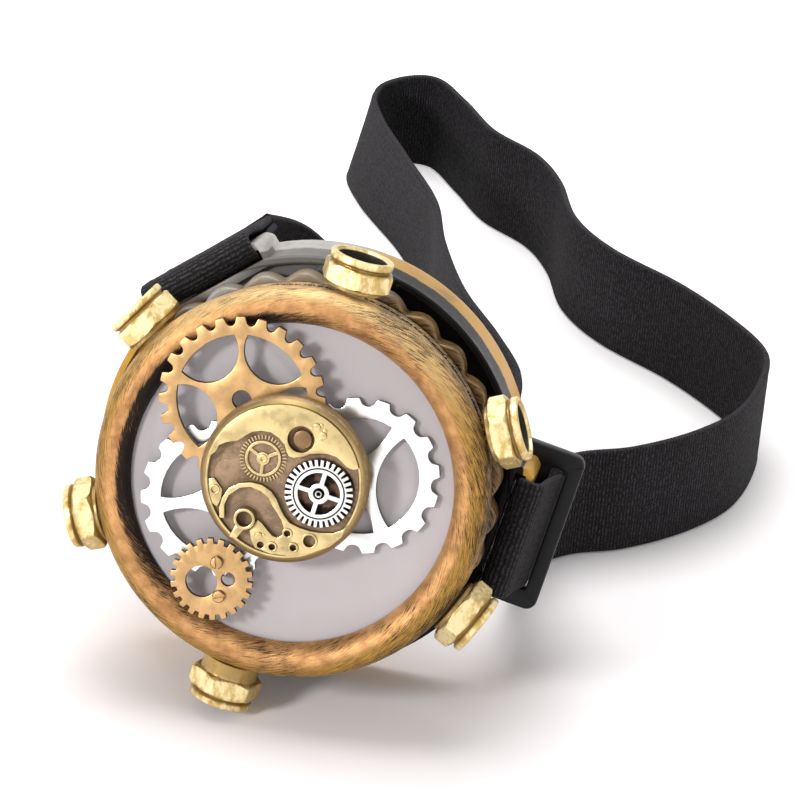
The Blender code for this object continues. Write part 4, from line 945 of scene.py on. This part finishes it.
class MONOCLE_OT_cup(bpy.types.Operator):
    """Open cup with a gold rim and two ears for the strap"""

    bl_idname = "monocle.cup"
    bl_label = "Eyecup"

    def execute(self, context):
        case, _, strap, colours = settings(context)
        bore, spigot, thread, rim = case.cup_bore, case.spigot_radius, case.thread_radius, case.rim_radius
        lip, front, back, web = case.rim_front_radius, -case.rim_front, -case.face_back, -case.web_front
        inner, wall = lip - case.rim_wall, rim - case.rim_wall
        cup = spin_line("cup", [
            (bore, -case.spigot_front), (spigot, -case.spigot_front), (spigot, -case.grip_front),
            (thread, -case.grip_front), (thread, web), (inner, web), (inner, front - 0.0003),
            (inner + 0.0003, front), (lip - 0.0003, front), (lip, front - 0.0003),
            (lip + EDGE, front - 0.003), (rim, back + 0.0012), (rim, back + 0.0006),
            (rim - 0.0002, back + 0.0002), (rim - 0.0005, back), (wall + EDGE, back),
            (wall - 0.0003, back + 0.0004), (inner, -case.web_back), (thread, -case.web_back),
            (bore, web)], 160)
        half, far = strap.width / 2 + SLOT_ROOM, strap.ear_distance
        near = far - strap.ear_slot
        for degrees in EARS:
            block = ear_box("ear", degrees, near - 0.0014, far + strap.ear_bar, half + 0.0012, 0.0010,
                            front - GAP, back + GAP)
            shape_with(cup, soften(block, 0.0004), "UNION")
        for degrees in EARS:
            slot = ear_box("ear_slot", degrees, near, far, half, EDGE, 0.0, back - 0.002)
            shape_with(cup, slot, "DIFFERENCE")
        settle(cup, FACE, "eyecup", "eyecup_shell", cup_finish(colours, case))
        return {"FINISHED"}


class MONOCLE_OT_lens(bpy.types.Operator):
    """Clear lens and the soft gasket behind it"""

    bl_idname = "monocle.lens"
    bl_label = "Lens and gasket"

    def execute(self, context):
        case, _, _, colours = settings(context)
        radius, front = case.lens_radius, case.lens_front
        back = front - LENS_THICKNESS
        lens = spin_solid("lens", [(radius - EDGE, back), (radius, back + EDGE), (radius, front - EDGE),
                                   (radius - EDGE, front)], 128)
        settle(lens, FACE, "lens_cap", "lens_disc", lens_finish(colours))
        inner, front, back = case.cup_bore + 0.0002, back - GAP, GAP - case.spigot_front
        gasket = spin_line("gasket", [
            (inner, back + EDGE), (inner + EDGE, back), (radius - EDGE, back), (radius, back + EDGE),
            (radius, front - EDGE), (radius - EDGE, front), (inner + EDGE, front),
            (inner, front - EDGE)], 128)
        settle(gasket, FACE, "gasket", "lens_gasket", rubber_finish())
        return {"FINISHED"}


def model_nut(case, foot):
    """A hexagon nut standing on its foot, with its radius and height kept as a map for the finish."""
    flats, radius, groove = case.nut_flats / 2, case.nut_collar_radius, case.nut_groove_radius
    base, bore = case.nut_foot_radius, case.nut_bore
    corner = flats / math.cos(math.pi / 6)
    high = foot + case.nut_hex
    collar = high + case.nut_groove
    top = collar + case.nut_collar
    nut = start_circle("nut", 6, corner)
    bpy.ops.transform.rotate(value=math.radians(30), orient_axis="Z", center_override=(0, 0, 0))
    bpy.ops.transform.translate(value=(0, 0, foot))
    raise_sheet(case.nut_hex)
    soften(nut, 0.00030, 3)
    for name, operation, profile in (
            ("cone", "INTERSECT", [
                (flats - 0.0002, foot - 0.001), (flats - 0.0002, foot), (flats + 0.0004, foot + 0.0003),
                (corner + 0.0002, foot + 0.0008), (corner + 0.0002, high - 0.0008),
                (flats + 0.0004, high - 0.0003), (flats - 0.0002, high), (flats - 0.0002, high + 0.001)]),
            ("tube", "UNION", [
                (base - EDGE, 0.0), (base, EDGE), (base, foot + 0.0003), (groove - EDGE, foot + 0.0005),
                (groove - EDGE, high - 0.0002), (groove, high), (groove, high + 0.0002),
                (radius - 0.00018, collar), (radius, collar + 0.00018), (radius, top - 0.00030),
                (radius - EDGE, top - EDGE), (radius - 0.00032, top)]),
            ("bore", "DIFFERENCE", [
                (bore, -0.001), (bore, top - 0.0005), (bore + 0.00012, top - 0.00035),
                (bore + 0.00030, top - 0.00005), (bore + 0.00045, top + 0.001)])):
        shape_with(nut, spin_solid(name, profile, 96), operation)
    chart = nut.data.uv_layers.new(name="Nut")
    for loop in nut.data.loops:
        point = nut.data.vertices[loop.vertex_index].co
        chart.data[loop.index].uv = (math.hypot(point.x, point.y), point.z - high)
    return nut


class MONOCLE_OT_nuts(bpy.types.Operator):
    """Hexagon nuts with a round collar: two are modelled, the others are copies"""

    bl_idname = "monocle.nuts"
    bl_label = "Hexagon nuts"

    def execute(self, context):
        case, _, _, colours = settings(context)
        finish = nut_finish(colours, case)
        standing = model_nut(case, case.nut_tall_foot)
        nuts = [model_nut(case, case.nut_foot)]
        while len(nuts) < len(NUTS) - 1:
            pick(nuts[0])
            bpy.ops.object.duplicate(linked=False)
            nuts.append(context.object)
        nuts.insert(STANDING_NUT, standing)
        for number, (nut, (degrees, turn)) in enumerate(zip(nuts, NUTS), 1):
            nut.name = f"nut_{number}"
            outward, _ = ear_directions(degrees)
            place = Matrix.Translation(outward * case.nut_seat - Vector((0, 0, case.nut_level)))
            upright = outward.to_track_quat("Z", "Y").to_matrix().to_4x4()
            settle(nut, FACE @ place @ upright @ Matrix.Rotation(math.radians(turn), 4, "Z"), "lens_cap",
                   f"hex_nut_{number}", finish, 28.0)
        return {"FINISHED"}


class MONOCLE_OT_gears(bpy.types.Operator):
    """Brass and silver gears and the two screws on the small gear"""

    bl_idname = "monocle.gears"
    bl_label = "Gears"

    def execute(self, context):
        _, works, _, colours = settings(context)
        # The dark colours of both gear finishes are painted shade on side walls
        brass = gear_finish("Brass antique", colours.brass, (0.085, 0.045, 0.02), 0.40, 0.80)
        silver = gear_finish("Silver bright", colours.silver, (0.10, 0.09, 0.09), 0.28, 0.97)

        tip, level, thickness = works.brass_radius, works.brass_level, works.brass_thickness
        gear = toothed_circle("gear_brass_large", 24, tip, works.brass_tooth, ROUND_GAP)
        windows = [almond(72.0 * k + 36.0, tip * 0.785, tip * 0.335, 30.0) for k in range(5)]
        raise_gear(gear, [*windows, ring(0.0015, 40)], thickness, 0.00013)
        settle(gear, on_face(BRASS_PLACE, level, 97.5), "lens_cap", "brass_gear_large",
               brass)

        tip = works.silver_radius
        for side, place, turn, low in (("right", RIGHT_GEAR_PLACE, 57.5, works.silver_low),
                                       ("left", LEFT_GEAR_PLACE, 75.0, works.silver_high)):
            gear = toothed_circle(f"gear_silver_{side}", 16, tip, works.silver_tooth, ROUND_GAP)
            windows = [almond(120.0 * k + 60.0, tip * 0.74, tip * 0.21, 52.0) for k in range(3)]
            raise_gear(gear, [*windows, ring(0.0012, 32)], works.silver_thickness, 0.00013)
            settle(gear, on_face(place, low, turn), "lens_cap", f"silver_gear_{side}",
                   silver)

        gear = toothed_circle("gear_brass_small", 22, works.small_radius, works.small_tooth, SQUARE_GAP)
        holes = [ring(0.0025, 56, (-0.0015, -0.0006)), ring(0.0011, 32, (0.0026, 0.0004))]
        raise_gear(gear, holes, thickness, 0.00011)
        settle(gear, on_face(SMALL_GEAR_PLACE, level), "lens_cap", "brass_gear_small", brass)

        radius, height = works.screw_radius, works.screw_height
        reach, half = radius * 1.2, 0.0002
        for side, (x, y), turn in (("upper", (0.0006, 0.0029), 100.0), ("lower", (0.0015, -0.0024), 20.0)):
            screw = spin_solid(f"screw_{side}", [
                (radius, -GAP), (radius, height * 0.5), (radius * 0.85, height * 0.85),
                (radius * 0.5, height)], 40)
            slot = plate("slot", [(-reach, -half), (reach, -half), (reach, half), (-reach, half)], [],
                         height * 0.45, height * 2)
            shape_with(screw, slot, "DIFFERENCE")
            centre = (SMALL_GEAR_PLACE[0] + x, SMALL_GEAR_PLACE[1] + y)
            settle(screw, on_face(centre, level + thickness + GAP, turn), "lens_cap", f"gear_screw_{side}",
                   brass)
        return {"FINISHED"}


class MONOCLE_OT_movement(bpy.types.Operator):
    """Cast watch movement with its silver wheel"""

    bl_idname = "monocle.movement"
    bl_label = "Watch movement"

    def execute(self, context):
        _, works, _, colours = settings(context)
        radius, back = works.movement_radius, works.movement_back
        side = back + works.movement_side
        lip = side + works.movement_bevel
        floor = lip - works.movement_drop
        outer = radius - works.movement_bevel
        inner = outer - works.movement_lip
        base = spin_solid("movement", [
            (radius - 0.0002, back), (radius, back + 0.0002), (radius, side - 0.0002), (radius - EDGE, side),
            (radius - 0.0004, side + 0.0005), (outer, lip - EDGE), (outer - EDGE, lip), (inner + EDGE, lip),
            (inner, lip - EDGE), (inner, floor)], 128)
        base.location = (*MOVEMENT_PLACE, 0.0)
        fix_place(base)
        bodies = [base]

        def raised(name, outline, holes, height, edge=0.00016):
            bodies.append(soften(plate(name, outline, holes, floor - GAP, floor + height), edge, 2, 40.0))

        def lobed(name, places, height, edge=0.00016, holes=()):
            raised(name, [share(place, works) for place in places], holes, height, edge)

        def round_one(name, place, size_of, count, height, edge, hole=None):
            """A round body on the movement's floor; hole gives the radius and the points of its opening."""
            centre = share(place, works)
            raised(name, ring(size_of, count, centre), [ring(*hole, centre)] if hole else [], height, edge)

        start, end = (math.degrees(math.atan2(y, x)) for x, y in (UPPER_BRIDGE[-1], UPPER_BRIDGE[0]))
        border = arc(radius - 0.0010, start, end, 36, MOVEMENT_PLACE)
        raised("upper_bridge", border + [share(place, works) for place in UPPER_BRIDGE],
               [ring(0.0021, 40, share(BRIDGE_HOLE, works))], 0.0016, 0.00022)
        jewels = [ring(0.0005, 20, share(place, works)) for place in JEWELS]
        jewels.append(ring(0.0009, 28, share(BIG_JEWEL, works)))
        lobed("lower_bridge", LOWER_BRIDGE, 0.0011, holes=jewels)
        lobed("left_plate", LEFT_PLATE, 0.0006)
        lobed("ledge", FLOOR_LEDGE, 0.00010, 0.00004)
        round_one("oval", (-79, -23), 0.0008, 24, 0.0009, 0.0001, (0.0005, 20))
        lobed("stem", COCK_STEM, 0.0013)
        round_one("boss", (-39, -51), 0.0017, 40, 0.0018, 0.00016, (0.0012, 32))
        ratchet = share(RATCHET, works)
        windows = [sector(120.0 * k + 90.0, 120.0, 0.0024, 0.0010, 0.0005, ratchet) for k in range(3)]
        raised("ratchet", ring(0.0028, 60, ratchet), windows, 0.0004, 0.0001)
        round_one("ratchet_hub", RATCHET, 0.0007, 24, 0.0006, 0.0001, (0.0003, 16))
        round_one("plug", (17, 53), 0.0014, 32, 0.0009, 0.0006)
        for place, turn, height in SMALL_SCREWS:
            round_one("small_screw", place, 0.00055, 20, height, 0.00008)
            for turned in (turn, turn + 180.0):
                ear = polar(0.00075, turned, share(place, works))
                raised("small_screw_ear", ring(0.00028, 12, ear), [], height - 0.0002, 0.00006)
        for place, size_of in zip((*JEWELS[:2], JEWELS[3], BIG_JEWEL), (0.0008, 0.0008, 0.0008, 0.00125)):
            round_one("jewel_ring", place, size_of, 28, 0.0013, 0.00006, (size_of - 0.0003, 24))
        for degrees in range(0, 360, 9):
            near, far = (Vector(polar(reach, degrees, ratchet)) for reach in (0.0030, 0.0037))
            across = Vector(polar(0.00011, degrees + 90))
            raised("tick", [near - across, far - across, far + across, near + across], [], 0.00025, 0.00004)
        pick(*bodies)
        bpy.ops.object.join()
        settle(base, FACE, "lens_cap", "movement_plate", movement_finish(colours, works),
               30.0)

        tip, thickness, level = works.wheel_radius, works.wheel_thickness, floor + GAP
        # The dark colour is painted shade on the side walls and in the groove
        silver = gear_finish("Silver antique", (0.86, 0.85, 0.82), (0.035, 0.028, 0.025), 0.34, 0.90,
                             level + thickness - 0.0002)
        wheel = toothed_circle("wheel", 34, tip, works.wheel_tooth, SQUARE_GAP)
        windows = [sector(90.0 * k + 45.0, 90.0, tip * 0.62, 0.0016, 0.0007) for k in range(4)]
        raise_gear(wheel, [*windows, ring(0.0009, 28)], thickness, 0.0001)
        near, far, low, high = tip * 0.765, tip * 0.72, thickness - 0.00025, thickness + 0.0003
        groove = spin_line("groove", [(near, low), (near, high), (far, high), (far, low)], 64)
        shape_with(wheel, groove, "DIFFERENCE")
        place = share(WHEEL, works)
        settle(wheel, on_face(place, level, 80.0), "lens_cap", "movement_wheel", silver)
        pin = spin_line("wheel_pin", [(0.0003, 0.0), (0.0006, 0.0), (0.0006, 0.0010), (0.0005, 0.0012),
                                      (0.0004, 0.0012), (0.0003, 0.0011)], 32)
        settle(pin, on_face(place, level), "lens_cap", "movement_wheel_pin", silver)
        return {"FINISHED"}


def smooth_route(stations, steps):
    """Places and width directions read from a smooth curve through the given stations."""
    result = []
    last = len(stations) - 1
    for i in range(last):
        before, start, end, after = (stations[min(max(j, 0), last)] for j in range(i - 1, i + 3))
        for step in range(steps):
            t = step / steps
            place = [0.5 * (2 * b + (c - a) * t + (2 * a - 5 * b + 4 * c - d) * t * t
                            + (3 * b - a - 3 * c + d) * t ** 3)
                     for a, b, c, d in zip(before[0], start[0], end[0], after[0])]
            result.append((Vector(place), start[1].lerp(end[1], t).normalized()))
    return [*result, stations[-1]]


def ear_stations(degrees, path, flip):
    """Close stations along a path of (distance, level) pairs across an ear, the last one first."""
    outward, along = ear_directions(degrees)
    width_way = (FACE.to_3x3() @ along) * flip
    fine = [path[0]]
    for start, end in zip(path, path[1:]):
        count = max(1, int(math.dist(start, end) / 0.0006))
        fine += [tuple(a + (b - a) * k / count for a, b in zip(start, end)) for k in range(1, count + 1)]
    return [(FACE @ Vector((outward.x * distance, outward.y * distance, level)), width_way.copy())
            for distance, level in reversed(fine)]


def strap_stations(strap, case):
    """All stations of the band, from the lap at the left ear to the tail at the buckle."""
    near = strap.ear_distance - strap.ear_slot / 2
    far = strap.ear_distance + strap.ear_bar + GAP + strap.thickness / 2
    back, crest = -case.face_back, -case.rim_front - 0.0022
    middle = (back - case.rim_front - GAP) / 2
    centre, radius = (near + far + strap.belly) / 2, (far + strap.belly - near) / 2
    bend = [(centre + x, crest + y * (radius + 0.0006) / radius) for x, y in arc(radius, 0.0, 180.0, 24)]
    lap = far - strap.thickness - GAP
    left = ear_stations(LEFT_EAR, [
        (far, back - 0.010), (far, back - 0.0045), (far, back - 0.0010), (far + strap.belly * 0.35, back),
        (far + strap.belly * 0.85, middle - 0.0014), *bend, (near, middle), (near, back),
        (lap, back - 0.0045), (lap, back - 0.010)], 1.0)
    slot = near + strap.buckle_bar + strap.buckle_slot + 0.0006
    front = back - BUCKLE_GAP
    rear = front - strap.buckle_thickness
    right = ear_stations(RIGHT_EAR, [
        (slot, rear - strap.tail), (slot, rear - strap.tail / 2), (slot, rear), (slot, front),
        ((slot + far) / 2, middle), *bend, (near, middle), (near, back), (near, rear),
        (near, rear - 0.008)], -1.0)
    table = []
    ground = Vector((FACE_CENTRE.x, FACE_CENTRE.y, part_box("head_strap")[0].z))
    for index, row in enumerate(STRAP_ROUTE):
        x, y, climb, lean_x, lean_y = (value / 1000 for value in (*row, 0, 0, 0)[:5])
        upright = Vector((lean_x, lean_y, 1.0)).normalized()
        stand = (strap.width * upright.z + strap.thickness * math.sqrt(1.0 - upright.z ** 2)) / 2
        ear = left[-1] if index < len(STRAP_ROUTE) // 2 else right[0]
        height = stand + climb * (ear[0].z - ground.z - stand)
        table.append((ground + Vector((x * strap.loop_depth, y * strap.loop_depth, height)),
                      upright.lerp(ear[1], climb)))
    return left[:-1] + smooth_route([left[-1], *table, right[0]], 14) + right[1:]


def band_mesh(strap, stations):
    """The band's mesh along its stations, with its own length and width map."""
    section = [*BAND_EDGE, *((-across, through) for across, through in reversed(BAND_EDGE[:-1]))]
    section += [(across, -through) for across, through in reversed(section[1:-1])]
    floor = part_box("head_strap")[0].z
    points, lengths, run = [], [], 0.0
    for i, (place, width_way) in enumerate(stations):
        before, after = stations[max(i - 1, 0)][0], stations[min(i + 1, len(stations) - 1)][0]
        ahead = (after - before).normalized()
        across = (width_way - ahead * width_way.dot(ahead)).normalized() * strap.width / 2
        through = ahead.cross(across).normalized() * strap.thickness / 2
        run += (place - before).length
        lengths.append(run)
        loop = [place + across * a + through * t for a, t in section]
        sunk = min(0.0, min(point.z for point in loop) - floor)
        points += [point - Vector((0, 0, sunk)) for point in loop]
    count = len(section)
    faces = [(i + j, i + (j + 1) % count, i + count + (j + 1) % count, i + count + j)
             for i in range(0, len(points) - count, count) for j in range(count)]
    faces += [tuple(range(count)), tuple(range(len(points) - count, len(points)))]
    mesh = bpy.data.meshes.new("strap")
    mesh.from_pydata(points, [], faces)
    band = mesh.uv_layers.new(name="Band")
    for loop in mesh.loops:
        station, corner = divmod(loop.vertex_index, count)
        band.data[loop.index].uv = (lengths[station], section[corner][0] * strap.width / 2)
    return mesh


def oblong(half_x, half_y, corner, steps, centre=0.0):
    """Outline of a rectangle with round corners."""
    outline = []
    for turn, x, y in ((0, 1, 1), (90, -1, 1), (180, -1, -1), (270, 1, -1)):
        middle = (centre + x * (half_x - corner), y * (half_y - corner))
        outline += arc(corner, turn, turn + 90, steps, middle)
    return outline


class MONOCLE_OT_strap(bpy.types.Operator):
    """Ribbed elastic band, from the left ear round the table to the right ear, and its buckle"""

    bl_idname = "monocle.strap"
    bl_label = "Head strap and buckle"

    def execute(self, context):
        case, _, strap, colours = settings(context)
        piece = bpy.data.objects.new("strap", band_mesh(strap, strap_stations(strap, case)))
        context.collection.objects.link(piece)
        pick(piece)
        bpy.ops.object.mode_set(mode="EDIT")
        bpy.ops.mesh.select_all(action="SELECT")
        bpy.ops.mesh.normals_make_consistent(inside=False)
        settle(piece, Matrix.Identity(4), "eyecup", "head_strap",
               webbing_finish(colours, strap), 50.0)

        near = strap.ear_distance - strap.ear_slot / 2
        slot = near + strap.buckle_bar + strap.buckle_slot
        middle = (near + slot) / 2
        holes = [oblong(strap.buckle_slot / 2, strap.width / 2 + SLOT_ROOM, 0.0004, 3, layer - middle)
                 for layer in (near, slot)]
        front = -case.face_back - BUCKLE_GAP
        buckle = plate("buckle", oblong(strap.buckle_width / 2, strap.buckle_length / 2, 0.0018, 8), holes,
                       front - strap.buckle_thickness, front)
        soften(buckle, 0.00035, 3, 40.0)
        outward, _ = ear_directions(RIGHT_EAR)
        settle(buckle, on_face((outward * middle).xy, 0.0, 90.0 - RIGHT_EAR), "buckle", "strap_slide_buckle",
               plastic_finish(colours))
        return {"FINISHED"}


def lamp(name, place, aim, width, power):
    """A soft square lamp."""
    data = bpy.data.lights.new(name, "AREA")
    data.size = width
    data.energy = power
    made = bpy.data.objects.new(name, data)
    bpy.context.scene.collection.objects.link(made)
    made.location = place
    made.rotation_euler = (Vector(aim) - Vector(place)).to_track_quat("-Z", "Y").to_euler()


def shown_rays(tree):
    """1 for rays from the camera and for those that metal and glass send on."""
    path = outputs(tree, "LightPath")
    return path["Is Camera Ray"] | path["Is Glossy Ray"] | path["Is Transmission Ray"]


class MONOCLE_OT_stage(bpy.types.Operator):
    """Pale floor, soft lamps and the camera"""

    bl_idname = "monocle.stage"
    bl_label = "Studio"

    def execute(self, context):
        scene = context.scene
        rest()
        bpy.ops.mesh.primitive_plane_add(size=6.0, location=(0, 0, 0))
        floor = context.object
        floor.name = "floor"
        finish, tree = new_finish("Studio floor")
        coat(finish, Base_Color=(0.925, 0.885, 0.89), Roughness=0.9)
        # Painted light: for camera rays the floor glows, faintly near the monocle so its shadow stays deep,
        # more strongly farther off
        away = add(tree, "VectorMath", object_position(tree), (0.0, -0.10, 0.0), operation="DISTANCE")
        glow = add(tree, "Emission", WHITE, shown_rays(tree) * (away.step(0.04, 0.22) * 0.40 + 0.03))
        surface = Value(tree.nodes["Principled BSDF"].outputs[0])
        feed(tree.nodes["Material Output"].inputs["Surface"], add(tree, "AddShader", surface, glow))
        floor.data.materials.append(finish)

        lamp("key", FACE_CENTRE + Vector((-0.62, -0.80, 0.47)), FACE_CENTRE, 0.20, 8.0)
        lamp("fill", (0.95, -0.65, 0.55), FACE_CENTRE, 0.8, 2.0)
        lamp("top", (-0.15, 0.20, 1.1), (0, 0, 0), 0.8, 12.0)
        world = bpy.data.worlds.new("Studio")
        scene.world = world
        world.use_nodes = True
        background = world.node_tree.nodes["Background"].inputs
        feed(background["Color"], WHITE)
        feed(background["Strength"], shown_rays(world.node_tree) * 0.70 + 0.30)

        azimuth, elevation, roll = map(math.radians, CAMERA_ANGLES)
        level = Vector((math.cos(azimuth), math.sin(azimuth), 0.0))
        back = Vector((level.y * math.cos(elevation), -level.x * math.cos(elevation), math.sin(elevation)))
        upright = back.cross(level)
        right = level * math.cos(roll) + upright * math.sin(roll)
        up = upright * math.cos(roll) - level * math.sin(roll)
        data = bpy.data.cameras.new("photo_camera")
        data.lens = CAMERA_LENS
        data.clip_end = 20.0
        camera = bpy.data.objects.new("photo_camera", data)
        scene.collection.objects.link(camera)
        turn = Matrix((right, up, back)).transposed().to_4x4()
        camera.matrix_world = Matrix.Translation(FACE_CENTRE + CAMERA_PLACE) @ turn
        scene.camera = camera
        scene.view_settings.view_transform = "Standard"
        return {"FINISHED"}


class MONOCLE_PT_panel(bpy.types.Panel):
    """Buttons for each piece of the monocle"""

    bl_idname = "MONOCLE_PT_panel"
    bl_label = "Monocle"
    bl_space_type = "VIEW_3D"
    bl_region_type = "UI"
    bl_category = "Monocle"

    def draw(self, context):
        for piece in PIECES:
            self.layout.operator(piece.bl_idname)


PIECES = (MONOCLE_OT_stage, MONOCLE_OT_cup, MONOCLE_OT_bezel, MONOCLE_OT_lens, MONOCLE_OT_nuts,
          MONOCLE_OT_gears, MONOCLE_OT_movement, MONOCLE_OT_strap)
GROUPS = {"monocle_case": MonocleCase, "monocle_clockwork": MonocleClockwork, "monocle_strap": MonocleStrap,
          "monocle_colours": MonocleColours}


def register():
    """Register the sizes, the operators and the panel."""
    for name, group in GROUPS.items():
        bpy.utils.register_class(group)
        setattr(bpy.types.Scene, name, PointerProperty(type=group))
    for piece in (*PIECES, MONOCLE_PT_panel):
        bpy.utils.register_class(piece)


def unregister():
    """Undo register."""
    for piece in (MONOCLE_PT_panel, *reversed(PIECES)):
        bpy.utils.unregister_class(piece)
    for name, group in reversed(GROUPS.items()):
        delattr(bpy.types.Scene, name)
        bpy.utils.unregister_class(group)


def main():
    """Register the add-on and build every piece."""
    register()
    bpy.ops.monocle.stage()
    bpy.ops.monocle.cup()
    bpy.ops.monocle.bezel()
    bpy.ops.monocle.lens()
    bpy.ops.monocle.nuts()
    bpy.ops.monocle.gears()
    bpy.ops.monocle.movement()
    bpy.ops.monocle.strap()
    rest()


if __name__ == "__main__":
    main()
